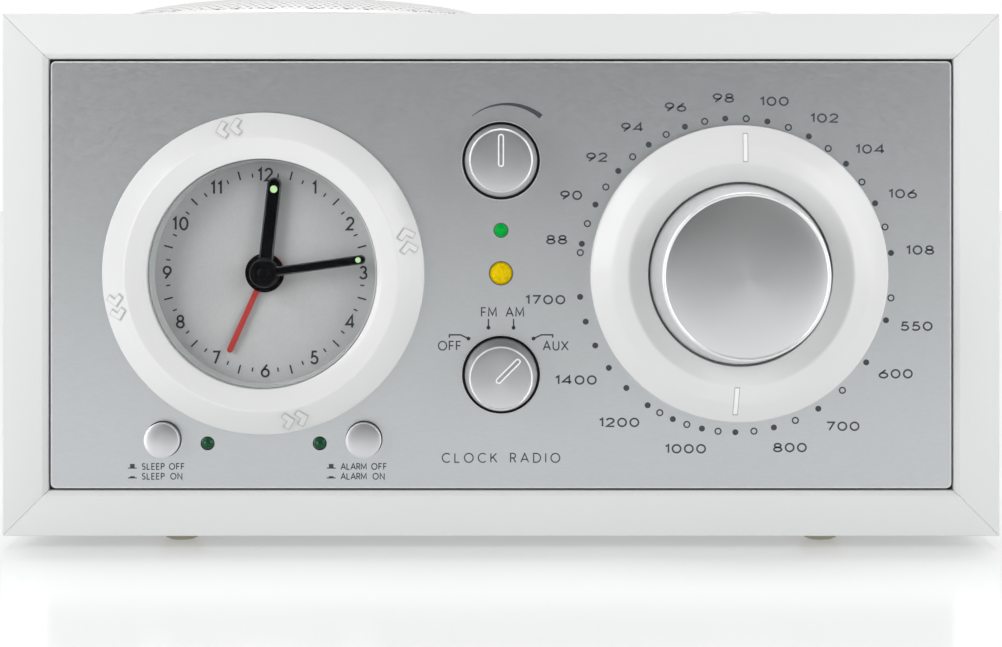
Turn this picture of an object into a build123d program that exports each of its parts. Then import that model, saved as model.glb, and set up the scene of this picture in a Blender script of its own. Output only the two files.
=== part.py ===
"""Clock radio: mitred cabinet, alarm clock, geared tuning dial, top-firing speaker.

Millimetres. The front faces -Y, +Z is up and Z = 0 is the floor under the feet.
Heights in front of the metal front panel are measured towards the listener.
"""

import os
from math import acos, cos, pi, radians, sin, tan

from build123d import *

os.makedirs("parts", exist_ok=True)

# Cabinet
CABINET_W = 213.0
CABINET_FRONT = -48.5
CABINET_REAR = 63.5
CABINET_BOTTOM = 2.7
CABINET_TOP = 114.3
WALL = 9.6
CORNER_R = 0.8
INNER_CHAMFER = 1.1
HALF_IN = CABINET_W / 2 - WALL
FLOOR_IN = CABINET_BOTTOM + WALL
CEILING_IN = CABINET_TOP - WALL
MID_Z = (CABINET_TOP + CABINET_BOTTOM) / 2
BLOCK_LEG = 7.0

# Front panel
FACE_Y = -47.5
PANEL_W = 192.8
PANEL_H = 91.4
PANEL_T = 2.0
CHASSIS_T = 3.0
CHASSIS_BACK = -(PANEL_T + CHASSIS_T)

# Rear panel
REAR_IN = 58.5
REAR_OUT = 61.0

# Front layout, as (X, Z)
CLOCK = (-50.8, 58.8)
TUNING = (50.8, 58.8)
VOLUME = (0.0, 82.9)
SELECTOR = (0.0, 37.1)
POWER_LED = (0.0, 68.0)
TUNING_LED = (0.0, 58.8)
SLEEP_BUTTON = (-72.3, 23.3)
ALARM_BUTTON = (-29.3, 23.3)
SLEEP_LED = (-62.8, 22.4)
ALARM_LED = (-38.8, 22.4)

# Top layout, as (X, Y)
SPEAKER = (-46.0, 7.5)
SNOOZE = (59.0, 7.5)
GRILLE_R = 45.0
SPEAKER_HOLE_R = 39.5

# Clock
RING_R = 34.4
RING_BORE = 24.5
SLEEVE_R = 27.5
LENS_R = 24.1
DIAL_FRONT = -3.5
CARRIER_FRONT = -4.0
CARRIER_BACK = -6.0
GEAR_FRONT = -6.3
GEAR_BACK = -9.0
PLATE_FRONT = -10.0
PLATE_BACK = -12.0
MOVEMENT_BACK = -26.0
HOUR_ANGLE = 6.5
MINUTE_ANGLE = 82.0
ALARM_ANGLE = 204.4
PINION_DIRECTION = -45.0

# Gears
MODULE = 0.8
PRESSURE = radians(25.0)
ADDENDUM = 0.7 * MODULE
DEDENDUM = 0.95 * MODULE
BACKLASH = 0.12
RING_TEETH = 60
PINION_TEETH = 10
SUN_TEETH = 12
PLANET_TEETH = 18
FIXED_TEETH = 48

# Tuning
DIAL_R = 31.7
DIAL_WELL_R = 19.6
KNOB_BASE_R = 19.2
KNOB_FACE_R = 17.0
KNOB_FRONT = 19.0
TUNING_ANGLE = 2.1
SHAFT_R = 3.0
RUNNING = 0.05
PLANET_DIRECTIONS = (90.0, 210.0, 330.0)
PLANET_CENTRE_R = MODULE * (SUN_TEETH + PLANET_TEETH) / 2
PLANET_PIN_R = 1.5

# Small knobs
SMALL_KNOB_R = 7.95
SMALL_KNOB_FACE_R = 6.6
SMALL_KNOB_FRONT = 9.5
SMALL_KNOB_HOLE_R = 8.6
SELECTOR_ANGLE = 45.0

# Buttons
BUTTON_R = 3.75
BUTTON_HOLE_R = 3.95
SNOOZE_R = 6.6
SNOOZE_HOLE_R = 7.0

# Front board
BOARD_FRONT = -17.0
BOARD_T = 1.6

# Rear layout, as (X, Z)
PORT = (-70.0, 36.0)
PORT_R = 10.0
SOCKET_Z = 24.1
AUDIO_X = (-30.0, -14.0, 2.0)
AERIAL = (38.0, 26.0)
POWER_SOCKET = (72.0, 24.1)
BATTERY = (53.5, 84.0)


def spot(x, z, height=0.0, clockwise=0.0):
    """Plane facing the listener at a height in front of the panel, turned clockwise by degrees."""
    a = radians(clockwise)
    return Plane(origin=(x, FACE_Y - height, z), x_dir=(cos(a), 0, -sin(a)), z_dir=(0, -1, 0))


def rear_spot(x, z, y):
    """Plane facing the rear, with local X running to the radio's left."""
    return Plane(origin=(x, y, z), x_dir=(-1, 0, 0), z_dir=(0, 1, 0))


def export(name, builder):
    """Label one finished piece and write it out."""
    builder.part.label = name
    export_step(builder.part, f"parts/{name}.step")


def turn(place, outline, mode=Mode.ADD):
    """Revolve a closed (radius, height) outline about the front-facing axis at a place."""
    x, z = place
    with BuildSketch(Plane(origin=(x, FACE_Y, z), x_dir=(1, 0, 0), z_dir=(0, 0, -1))) as profile:
        with BuildLine():
            Polyline(*outline, close=True)
        make_face()
    revolve(profile.sketch, axis=Axis((x, FACE_Y, z), (0, -1, 0)), mode=mode)


def stand(place, outline, mode=Mode.ADD):
    """Revolve a closed (radius, Z) outline about the vertical axis at an (X, Y) place."""
    x, y = place
    with BuildSketch(Plane(origin=(x, y, 0), x_dir=(1, 0, 0), z_dir=(0, -1, 0))) as profile:
        with BuildLine():
            Polyline(*outline, close=True)
        make_face()
    revolve(profile.sketch, axis=Axis((x, y, 0), (0, 0, 1)), mode=mode)


def rod(place, radius, back, front, mode=Mode.ADD):
    """Cylinder along the front-facing axis between two heights."""
    with BuildSketch(spot(place[0], place[1], back)) as section:
        Circle(radius)
    extrude(section.sketch, amount=front - back, mode=mode)


def rear_rod(place, radius, start, end, mode=Mode.ADD):
    """Cylinder along +Y between two Y positions."""
    with BuildSketch(rear_spot(place[0], place[1], start)) as section:
        Circle(radius)
    extrude(section.sketch, amount=end - start, mode=mode)


def post(place, radius, low, high, mode=Mode.ADD):
    """Upright cylinder between two Z positions."""
    with BuildSketch(Plane.XY.offset(low)) as section:
        with Locations(place):
            Circle(radius)
    extrude(section.sketch, amount=high - low, mode=mode)


def block(x, y, z, mode=Mode.ADD):
    """Box between pairs of X, Y and Z limits."""
    with Locations((sum(x) / 2, sum(y) / 2, sum(z) / 2)):
        Box(x[1] - x[0], y[1] - y[0], z[1] - z[0], mode=mode)


def arc_points(centre, radius, start, end, steps=6):
    """Points along an arc in a profile, from one angle to another in degrees."""
    sweep = [radians(start + (end - start) * step / steps) for step in range(steps + 1)]
    return [(centre[0] + radius * cos(a), centre[1] + radius * sin(a)) for a in sweep]


def gear_outline(teeth, tip, root, gap, direction):
    """Involute outline between two radii, with one tooth pointing in a direction."""
    pitch = MODULE * teeth / 2
    base = pitch * cos(PRESSURE)
    low, high = pitch + root, pitch + tip
    half = pi / (2 * teeth) - gap / (2 * pitch) + tan(PRESSURE) - PRESSURE
    radii = [low, max(low, base) + 0.02, pitch, (pitch + high) / 2, high]
    points = []
    for tooth in range(teeth):
        centre = radians(direction) + 2 * pi * tooth / teeth
        for side, flank in ((-1, radii), (1, radii[::-1])):
            for radius in flank:
                roll = acos(min(1.0, base / radius))
                angle = centre + side * (half - tan(roll) + roll)
                points.append((radius * cos(angle), radius * sin(angle)))
    return points


def toothed(place, back, front, outline, mode=Mode.ADD):
    """Extrude a gear outline between two heights."""
    with BuildSketch(spot(place[0], place[1], back)) as section:
        with BuildLine():
            Polyline(*outline, close=True)
        make_face()
    extrude(section.sketch, amount=front - back, mode=mode)


def around(place, radius, direction):
    """Point at a radius and direction (degrees, from +X towards +Z) about a place."""
    angle = radians(direction)
    return (place[0] + radius * cos(angle), place[1] + radius * sin(angle))


# Cabinet panels, cut from one frame along the mitres
def cabinet_panel(wedge):
    """One wall of the cabinet, bounded by its mitre planes."""
    with BuildPart() as panel:
        with BuildSketch(Plane(origin=(0, CABINET_REAR, MID_Z), x_dir=(1, 0, 0), z_dir=(0, -1, 0))):
            RectangleRounded(CABINET_W, CABINET_TOP - CABINET_BOTTOM, CORNER_R)
            Rectangle(2 * HALF_IN, CEILING_IN - FLOOR_IN, mode=Mode.SUBTRACT)
        extrude(amount=CABINET_REAR - CABINET_FRONT)
        front_face = panel.faces().sort_by(Axis.Y)[0]
        chamfer(front_face.inner_wires()[0].edges(), length=INNER_CHAMFER)
        front_face = panel.faces().sort_by(Axis.Y)[0]
        chamfer(front_face.outer_wire().edges(), length=0.4)
        with BuildSketch(Plane(origin=(0, CABINET_REAR + 1, 0), x_dir=(1, 0, 0), z_dir=(0, -1, 0))):
            with BuildLine():
                Polyline(*wedge, close=True)
            make_face()
        extrude(amount=CABINET_REAR - CABINET_FRONT + 2, mode=Mode.INTERSECT)
    return panel


OUT_X = CABINET_W / 2
REACH = 20.0
DEPTH = 40.0

top_panel = cabinet_panel([
    (-OUT_X - REACH, CABINET_TOP + REACH),
    (OUT_X + REACH, CABINET_TOP + REACH),
    (OUT_X - DEPTH, CABINET_TOP - DEPTH),
    (-OUT_X + DEPTH, CABINET_TOP - DEPTH),
])
with BuildPart() as cabinet_top:
    add(top_panel.part)
    post(SPEAKER, SPEAKER_HOLE_R, CEILING_IN - 1, CABINET_TOP + 1, Mode.SUBTRACT)
    post(SNOOZE, SNOOZE_HOLE_R, CEILING_IN - 1, CABINET_TOP + 1, Mode.SUBTRACT)
export("cabinet_top", cabinet_top)

cabinet_bottom = cabinet_panel([
    (-OUT_X - REACH, CABINET_BOTTOM - REACH),
    (OUT_X + REACH, CABINET_BOTTOM - REACH),
    (OUT_X - DEPTH, CABINET_BOTTOM + DEPTH),
    (-OUT_X + DEPTH, CABINET_BOTTOM + DEPTH),
])
export("cabinet_bottom", cabinet_bottom)

for side, name in ((-1, "cabinet_left"), (1, "cabinet_right")):
    wall = cabinet_panel([
        (side * (OUT_X + REACH), CABINET_BOTTOM - REACH),
        (side * (OUT_X + REACH), CABINET_TOP + REACH),
        (side * (OUT_X - DEPTH), CABINET_TOP - DEPTH),
        (side * (OUT_X - DEPTH), CABINET_BOTTOM + DEPTH),
    ])
    export(name, wall)

# Glue blocks in the four long inner corners; the chassis and the rear panel screw into them
SCREW_INSET = 3.3
SCREW_X = HALF_IN - SCREW_INSET
SCREW_Z = (FLOOR_IN + SCREW_INSET, CEILING_IN - SCREW_INSET)
CORNERS = [(sx * SCREW_X, z) for sx in (-1, 1) for z in SCREW_Z]
with BuildPart() as corner_blocks:
    with BuildSketch(Plane(origin=(0, REAR_IN, 0), x_dir=(1, 0, 0), z_dir=(0, -1, 0))) as corner_section:
        for sx in (-1, 1):
            for z, up in ((FLOOR_IN, 1), (CEILING_IN, -1)):
                with BuildLine():
                    Polyline(
                        (sx * HALF_IN, z),
                        (sx * (HALF_IN - BLOCK_LEG), z),
                        (sx * (HALF_IN - BLOCK_LEG), z + up * 2.5),
                        (sx * (HALF_IN - 2.5), z + up * BLOCK_LEG),
                        (sx * HALF_IN, z + up * BLOCK_LEG),
                        close=True,
                    )
                make_face()
    extrude(amount=REAR_IN - (FACE_Y - CHASSIS_BACK))
    for corner in CORNERS:
        rear_rod(corner, 1.0, REAR_IN - 12, REAR_IN + 1, Mode.SUBTRACT)
export("corner_blocks", corner_blocks)

# Metal front panel
with BuildPart() as front_panel:
    with BuildSketch(spot(0, MID_Z, -PANEL_T)):
        RectangleRounded(PANEL_W, PANEL_H, 1.2)
    extrude(amount=PANEL_T)
    rod(CLOCK, SLEEVE_R + 0.1, -PANEL_T - 1, 1, Mode.SUBTRACT)
    rod(TUNING, 7.0, -PANEL_T - 1, 1, Mode.SUBTRACT)
    for place in (VOLUME, SELECTOR):
        rod(place, SMALL_KNOB_HOLE_R, -PANEL_T - 1, 1, Mode.SUBTRACT)
    for place in (SLEEP_BUTTON, ALARM_BUTTON):
        rod(place, BUTTON_HOLE_R, -PANEL_T - 1, 1, Mode.SUBTRACT)
    for place, radius in ((POWER_LED, 1.5), (TUNING_LED, 2.5), (SLEEP_LED, 1.5), (ALARM_LED, 1.5)):
        rod(place, radius, -PANEL_T - 1, 1, Mode.SUBTRACT)
export("front_panel", front_panel)

with BuildPart() as front_chassis:
    block(
        (-HALF_IN, HALF_IN),
        (FACE_Y + PANEL_T, FACE_Y - CHASSIS_BACK),
        (FLOOR_IN, CEILING_IN),
    )
    rod(CLOCK, SLEEVE_R + 1.0, CHASSIS_BACK - 1, 0, Mode.SUBTRACT)
    rod(TUNING, 7.5, CHASSIS_BACK - 1, 0, Mode.SUBTRACT)
    for place in (VOLUME, SELECTOR):
        rod(place, 3.7, CHASSIS_BACK - 1, 0, Mode.SUBTRACT)
    for place in (SLEEP_BUTTON, ALARM_BUTTON):
        rod(place, BUTTON_R + 0.5, CHASSIS_BACK - 1, 0, Mode.SUBTRACT)
    for place, radius in ((POWER_LED, 2.0), (TUNING_LED, 3.1), (SLEEP_LED, 2.0), (ALARM_LED, 2.0)):
        rod(place, radius, CHASSIS_BACK - 1, 0, Mode.SUBTRACT)
export("front_chassis", front_chassis)

# Rear panel with its screws
with BuildPart() as rear_panel:
    block((-HALF_IN + 0.3, HALF_IN - 0.3), (REAR_IN, REAR_OUT), (FLOOR_IN + 0.3, CEILING_IN - 0.3))
    rear_rod(PORT, PORT_R + 2.0, REAR_IN - 1, REAR_OUT + 1, Mode.SUBTRACT)
    rear_rod(CLOCK, 1.55, REAR_IN - 1, REAR_OUT + 1, Mode.SUBTRACT)
    for x in AUDIO_X:
        rear_rod((x, SOCKET_Z), 3.0, REAR_IN - 1, REAR_OUT + 1, Mode.SUBTRACT)
    rear_rod(AERIAL, 4.76, REAR_IN - 1, REAR_OUT + 1, Mode.SUBTRACT)
    rear_rod(POWER_SOCKET, 4.5, REAR_IN - 1, REAR_OUT + 1, Mode.SUBTRACT)
    block(
        (BATTERY[0] - 27.5, BATTERY[0] + 27.5),
        (REAR_IN - 1, REAR_OUT + 1),
        (BATTERY[1] - 8.0, BATTERY[1] + 8.0),
        Mode.SUBTRACT,
    )
    for corner in CORNERS:
        rear_rod(corner, 1.5, REAR_IN - 1, REAR_OUT + 1, Mode.SUBTRACT)
export("rear_panel", rear_panel)

with BuildPart() as rear_screws:
    for corner in CORNERS:
        rear_rod(corner, 1.0, REAR_IN - 10, REAR_OUT)
        rear_rod(corner, 2.8, REAR_OUT, REAR_OUT + 1.4)
        with BuildSketch(rear_spot(corner[0], corner[1], REAR_OUT + 0.6)):
            Rectangle(3.2, 0.7)
            Rectangle(0.7, 3.2)
        extrude(amount=1, mode=Mode.SUBTRACT)
export("rear_screws", rear_screws)

FOOT_R = 4.9
with BuildPart() as rubber_feet:
    for x in (-70, 70):
        for y in (-34, 50):
            stand(
                (x, y),
                [(0, CABINET_BOTTOM), (FOOT_R, CABINET_BOTTOM), (4.75, 1.9), (4.3, 1.15),
                 (3.6, 0.5), (2.8, 0.12), (2.0, 0), (0, 0)],
            )
export("rubber_feet", rubber_feet)

# Speaker, firing up through the cabinet top
GRILLE_T = 0.8
GRILLE_RISE = 6.6
dome = []
for step in range(13):
    a = radians(90 * step / 12)
    dome.append((GRILLE_R * sin(a), CABINET_TOP + 0.9 + (GRILLE_RISE - 0.9) * cos(a)))
under = [(r * (GRILLE_R - GRILLE_T) / GRILLE_R, z - GRILLE_T) for r, z in dome[:-1]]
with BuildPart() as speaker_grille:
    stand(
        SPEAKER,
        dome + [(GRILLE_R, CABINET_TOP), (GRILLE_R - GRILLE_T, CABINET_TOP)] + under[::-1],
    )
export("speaker_grille", speaker_grille)

FLANGE_R = 43.5
SPEAKER_SCREW_R = 41.6
MAGNET_TOP = 80.7
MAGNET_BOTTOM = 68.7
with BuildPart() as speaker_basket:
    stand(
        SPEAKER,
        [(14.5, MAGNET_TOP), (24.0, MAGNET_TOP), (26.0, 83.0), (38.6, 101.4), (FLANGE_R, 102.7),
         (FLANGE_R, CEILING_IN), (38.2, CEILING_IN), (38.2, 102.6), (37.0, 102.6), (36.4, 101.8),
         (25.0, 84.2), (23.4, MAGNET_TOP + 1.2), (14.5, MAGNET_TOP + 1.2)],
    )
    for window in range(4):
        with BuildSketch(Plane.XY.offset(85)) as gap:
            with Locations(SPEAKER):
                with PolarLocations(0, 1, start_angle=45 + 90 * window):
                    with Locations((30, 0)):
                        Rectangle(26, 22)
        extrude(gap.sketch, amount=14, mode=Mode.SUBTRACT)
    for hole in range(4):
        post(around(SPEAKER, SPEAKER_SCREW_R, 90 * hole), 1.1, 100, 106, Mode.SUBTRACT)
export("speaker_basket", speaker_basket)

with BuildPart() as speaker_magnet:
    stand(SPEAKER, [(14.5, 70.7), (25.0, 70.7), (25.0, MAGNET_TOP), (14.5, MAGNET_TOP)])
    chamfer(speaker_magnet.edges().filter_by(GeomType.CIRCLE).group_by(SortBy.RADIUS)[-1], length=0.6)
export("speaker_magnet", speaker_magnet)

with BuildPart() as speaker_yoke:
    stand(
        SPEAKER,
        [(0, MAGNET_BOTTOM), (24.0, MAGNET_BOTTOM), (24.0, 70.7), (11.8, 70.7),
         (11.8, MAGNET_TOP), (0, MAGNET_TOP)],
    )
export("speaker_yoke", speaker_yoke)

CONE_R = 33.5
cap_top = [(12.2 * sin(radians(a)), 89.0 + 4.0 * cos(radians(a))) for a in (0, 25, 50, 70, 90)]
cap_under = [(r * 11.7 / 12.2, z - 0.5) for r, z in cap_top[:-1]]
with BuildPart() as speaker_cone:
    stand(
        SPEAKER,
        cap_top
        + [(12.8, 90.0), (CONE_R - 0.6, 102.6), (CONE_R, 102.4), (13.0, 88.9), (13.0, 75.0),
           (12.4, 75.0), (12.2, 88.5)]
        + cap_under[::-1],
    )
export("speaker_cone", speaker_cone)

with BuildPart() as speaker_surround:
    stand(
        SPEAKER,
        [(32.2, 103.1)]
        + arc_points((35.3, 103.1), 1.9, 180, 0)
        + [(38.0, 103.1), (38.0, 102.65), (36.7, 102.65)]
        + arc_points((35.3, 102.95), 1.4, 0, 180)
        + [(33.9, 102.7), (32.2, 102.7)],
    )
export("speaker_surround", speaker_surround)

with BuildPart() as speaker_screws:
    for hole in range(4):
        place = around(SPEAKER, SPEAKER_SCREW_R, 90 * hole)
        post(place, 1.1, 101, CEILING_IN)
        post(place, 1.8, 99.6, 101)
export("speaker_screws", speaker_screws)

# Snooze button on the top, with its switch hung below the panel
with BuildPart() as snooze_button:
    stand(
        SNOOZE,
        [(0, 102.4), (8.2, 102.4), (8.2, 103.4), (SNOOZE_R, 103.4), (SNOOZE_R, 117.0), (6.2, 117.7),
         (5.2, 118.1), (3.0, 118.35), (0, 118.4)],
    )
    post(SNOOZE, 5.2, 102.0, 115.0, Mode.SUBTRACT)
    post(SNOOZE, 1.4, 97.0, 116.0)
export("snooze_button", snooze_button)

with BuildPart() as snooze_switch:
    block((SNOOZE[0] - 4, SNOOZE[0] + 4), (SNOOZE[1] - 4, SNOOZE[1] + 4), (92.5, 99.5))
    block((SNOOZE[0] - 15, SNOOZE[0] + 15), (SNOOZE[1] - 7, SNOOZE[1] + 7), (91.0, 92.5))
    for side in (-1, 1):
        post((SNOOZE[0] + side * 12.5, SNOOZE[1]), 2.2, 92.5, CEILING_IN)
    post(SNOOZE, 1.5, 94.0, 100.0, Mode.SUBTRACT)
export("snooze_switch", snooze_switch)

# Alarm clock
RING_OUTLINE = (
    [(RING_R, 0.3), (RING_R, 0.9), (33.6, 2.1), (32.5, 3.3), (31.2, 4.3), (30.2, 4.85), (29.1, 5.0),
     (27.9, 4.9), (RING_BORE, 4.0), (RING_BORE, GEAR_FRONT)]
    + [(22.5, GEAR_FRONT), (22.5, GEAR_BACK), (SLEEVE_R, GEAR_BACK), (SLEEVE_R, 0.3)]
)
with BuildPart() as alarm_ring:
    turn(CLOCK, RING_OUTLINE)
    toothed(
        CLOCK,
        GEAR_BACK - 1,
        GEAR_FRONT,
        gear_outline(RING_TEETH, DEDENDUM, -ADDENDUM, -BACKLASH, PINION_DIRECTION),
        Mode.SUBTRACT,
    )
export("alarm_ring", alarm_ring)

PINION = around(CLOCK, MODULE * (RING_TEETH - PINION_TEETH) / 2, PINION_DIRECTION)
with BuildPart() as alarm_pinion:
    toothed(
        PINION,
        GEAR_BACK,
        GEAR_FRONT - 0.1,
        gear_outline(PINION_TEETH, ADDENDUM, -DEDENDUM, BACKLASH, PINION_DIRECTION),
    )
    rod(PINION, 1.0, -16.0, GEAR_BACK)
export("alarm_pinion", alarm_pinion)


def hand(blade_start, length, width, back, thickness, angle, hub_r, hub, tube):
    """Clock hand: a round-ended blade on a hub, with the tube or pin that drives it."""
    bore, outer, tail = tube
    with BuildPart() as piece:
        with BuildSketch(spot(CLOCK[0], CLOCK[1], back, angle)):
            with Locations((0, (blade_start + length) / 2)):
                SlotOverall(length - blade_start, width, rotation=90)
        extrude(amount=thickness)
        rod(CLOCK, hub_r, hub[0], hub[1])
        rod(CLOCK, outer, tail, hub[0])
        if bore:
            rod(CLOCK, bore, tail - 1, hub[1] + 1, Mode.SUBTRACT)
    return piece


alarm_hand = hand(0, 18.8, 1.2, -2.9, 0.5, ALARM_ANGLE, 4.2, (-3.2, -2.2), (1.25, 1.9, -13.5))
export("alarm_hand", alarm_hand)
hour_hand = hand(0, 20.4, 3.1, -1.7, 0.6, HOUR_ANGLE, 3.4, (-1.9, -0.9), (0.65, 1.2, -14.5))
export("hour_hand", hour_hand)
minute_hand = hand(0, 22.0, 1.9, -0.3, 0.5, MINUTE_ANGLE, 2.7, (-0.6, 1.0), (0, 0.6, -16.0))
export("minute_hand", minute_hand)

with BuildPart() as clock_lens:
    turn(
        CLOCK,
        [(LENS_R, DIAL_FRONT), (LENS_R, 5.0), (23.8, 5.8), (23.2, 6.25), (22.4, 6.4), (0, 6.4),
         (0, 5.2), (22.2, 5.2), (22.9, 4.6), (22.9, DIAL_FRONT)],
    )
export("clock_lens", clock_lens)

with BuildPart() as clock_dial:
    rod(CLOCK, LENS_R, CARRIER_FRONT, DIAL_FRONT)
    rod(CLOCK, 3.3, CARRIER_FRONT - 1, DIAL_FRONT + 1, Mode.SUBTRACT)
export("clock_dial", clock_dial)

# The carrier is fitted from the front and traps the ring's gear behind its rim
with BuildPart() as dial_carrier:
    rod(CLOCK, LENS_R, CARRIER_BACK, CARRIER_FRONT)
    rod(CLOCK, 22.4, PLATE_FRONT, CARRIER_BACK)
    rod(CLOCK, 17.6, PLATE_FRONT, CARRIER_BACK, Mode.SUBTRACT)
    with BuildSketch(spot(PINION[0], PINION[1], PLATE_FRONT - 0.5)) as pinion_room:
        Circle(6.0)
    extrude(pinion_room.sketch, amount=CARRIER_BACK - PLATE_FRONT + 0.5, mode=Mode.SUBTRACT)
    rod(CLOCK, 3.3, CARRIER_BACK - 1, CARRIER_FRONT + 1, Mode.SUBTRACT)
export("dial_carrier", dial_carrier)

PLATE_R = 37.0
with BuildPart() as clock_plate:
    rod(CLOCK, PLATE_R, PLATE_BACK, PLATE_FRONT)
    for corner in range(4):
        rod(around(CLOCK, 33.0, 45 + 90 * corner), 2.2, PLATE_FRONT, CHASSIS_BACK)
    rod(CLOCK, 3.3, PLATE_BACK - 1, PLATE_FRONT + 1, Mode.SUBTRACT)
    rod(PINION, 1.3, PLATE_BACK - 1, PLATE_FRONT + 1, Mode.SUBTRACT)
export("clock_plate", clock_plate)

MOVEMENT_HALF = 18.0
MOVEMENT_REAR_Y = FACE_Y - MOVEMENT_BACK
with BuildPart() as clock_movement:
    block(
        (CLOCK[0] - MOVEMENT_HALF, CLOCK[0] + MOVEMENT_HALF),
        (FACE_Y - PLATE_BACK, MOVEMENT_REAR_Y),
        (CLOCK[1] - MOVEMENT_HALF, CLOCK[1] + MOVEMENT_HALF),
    )
    fillet(clock_movement.edges().filter_by(Axis.Y), radius=3.0)
    rod(CLOCK, 3.2, PLATE_BACK, -3.4)
    rod(CLOCK, 1.95, -17.0, 0, Mode.SUBTRACT)
    rod(PINION, 1.05, -17.0, 0, Mode.SUBTRACT)
    rear_rod(CLOCK, 1.55, MOVEMENT_REAR_Y - 5.0, MOVEMENT_REAR_Y + 1, Mode.SUBTRACT)
export("clock_movement", clock_movement)

with BuildPart() as time_set_knob:
    rear_rod(CLOCK, 1.5, MOVEMENT_REAR_Y - 4.5, REAR_OUT + 0.5)
    rear_rod(CLOCK, 6.0, REAR_OUT + 0.5, REAR_OUT + 5.5)
    chamfer(time_set_knob.faces().sort_by(Axis.Y)[-1].edges(), length=0.5)
    for flute in range(18):
        rear_rod(around(CLOCK, 6.1, 20 * flute), 0.4, REAR_OUT, REAR_OUT + 6, Mode.SUBTRACT)
export("time_set_knob", time_set_knob)

# Tuning: the knob turns a sun gear, and the planet carrier turns the dial at a fifth of its speed
CARRIER_PLATE_BACK = -8.4
CARRIER_PLATE_FRONT = -6.4
GEARS_FRONT = -9.0
GEARS_BACK = -12.0
HOUSING_BACK = -17.0
CAPACITOR_BACK = -33.0
with BuildPart() as tuning_dial:
    turn(
        TUNING,
        [(SHAFT_R + RUNNING, CARRIER_PLATE_FRONT), (6.9, CARRIER_PLATE_FRONT), (6.9, 0.3), (DIAL_R, 0.3),
         (DIAL_R, 0.9), (31.0, 2.0), (29.6, 3.4), (27.6, 4.9), (25.4, 6.0), (24.0, 6.4), (23.0, 6.5),
         (21.9, 6.4), (DIAL_WELL_R, 5.8), (DIAL_WELL_R, 2.0), (SHAFT_R + RUNNING, 2.0)],
    )
    for turned in (0, 180):
        with BuildSketch(spot(TUNING[0], TUNING[1], 2.6, TUNING_ANGLE + turned)) as slot:
            with Locations((0, 27.3)):
                SlotOverall(6.2, 1.4, rotation=90)
        extrude(slot.sketch, amount=8, mode=Mode.SUBTRACT)
export("tuning_dial", tuning_dial)

with BuildPart() as tuning_knob:
    turn(
        TUNING,
        [(SHAFT_R, 2.6), (6.0, 2.6), (6.0, 16.2), (15.6, 16.2), (17.4, 2.6), (KNOB_BASE_R, 2.6),
         (KNOB_BASE_R, 4.0), (17.35, 18.2), (KNOB_FACE_R, 18.75), (16.6, KNOB_FRONT),
         (16.0, 18.85), (15.6, 18.6), (8.0, 18.2), (0, 18.1), (0, 15.5), (SHAFT_R, 15.5)],
    )
export("tuning_knob", tuning_knob)

SUN_DIRECTION = PLANET_DIRECTIONS[0] - 180 / SUN_TEETH
with BuildPart() as tuning_shaft:
    toothed(
        TUNING,
        GEARS_BACK,
        GEARS_FRONT,
        gear_outline(SUN_TEETH, ADDENDUM, -DEDENDUM, BACKLASH, SUN_DIRECTION),
    )
    rod(TUNING, SHAFT_R, GEARS_FRONT, 15.5)
export("tuning_shaft", tuning_shaft)

for number, direction in enumerate(PLANET_DIRECTIONS, start=1):
    centre = around(TUNING, PLANET_CENTRE_R, direction)
    with BuildPart() as planet_gear:
        toothed(
            centre,
            GEARS_BACK,
            GEARS_FRONT,
            gear_outline(PLANET_TEETH, ADDENDUM, -DEDENDUM, BACKLASH, direction),
        )
        rod(centre, PLANET_PIN_R + RUNNING, GEARS_BACK - 1, GEARS_FRONT + 1, Mode.SUBTRACT)
    export(f"planet_gear_{number}", planet_gear)

CARRIER_R = 16.5
with BuildPart() as planet_carrier:
    rod(TUNING, CARRIER_R, CARRIER_PLATE_BACK, CARRIER_PLATE_FRONT)
    rod(TUNING, SHAFT_R + RUNNING, CARRIER_PLATE_BACK - 1, CARRIER_PLATE_FRONT + 1, Mode.SUBTRACT)
    for direction in PLANET_DIRECTIONS:
        rod(around(TUNING, PLANET_CENTRE_R, direction), PLANET_PIN_R, -12.6, CARRIER_PLATE_BACK)
    rod(TUNING, CARRIER_R, -14.2, -12.6)
    rod(TUNING, SHAFT_R, -25.0, -14.2)
export("planet_carrier", planet_carrier)

HOUSING_R = 22.5
HOUSING_BORE = 20.3
with BuildPart() as gear_housing:
    turn(
        TUNING,
        [(SHAFT_R + RUNNING, HOUSING_BACK), (HOUSING_R, HOUSING_BACK), (HOUSING_R, -7.0), (27.0, -7.0),
         (27.0, CHASSIS_BACK), (HOUSING_BORE, CHASSIS_BACK), (HOUSING_BORE, GEARS_FRONT), (17.5, GEARS_FRONT),
         (17.5, -15.0), (SHAFT_R + RUNNING, -15.0)],
    )
    toothed(
        TUNING,
        -15.0,
        GEARS_FRONT + 1,
        gear_outline(FIXED_TEETH, DEDENDUM, -ADDENDUM, -BACKLASH, PLANET_DIRECTIONS[0]),
        Mode.SUBTRACT,
    )
export("gear_housing", gear_housing)

with BuildPart() as tuning_capacitor:
    block(
        (TUNING[0] - 12, TUNING[0] + 12),
        (FACE_Y - HOUSING_BACK, FACE_Y - CAPACITOR_BACK),
        (TUNING[1] - 12, TUNING[1] + 12),
    )
    rod(TUNING, SHAFT_R + RUNNING, -26.0, HOUSING_BACK + 1, Mode.SUBTRACT)
    for x in (-8, 0, 8):
        block(
            (TUNING[0] + x - 0.8, TUNING[0] + x + 0.8),
            (FACE_Y - CAPACITOR_BACK - 4, FACE_Y - CAPACITOR_BACK - 3.6),
            (TUNING[1] - 18, TUNING[1] - 12),
        )
export("tuning_capacitor", tuning_capacitor)


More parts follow.
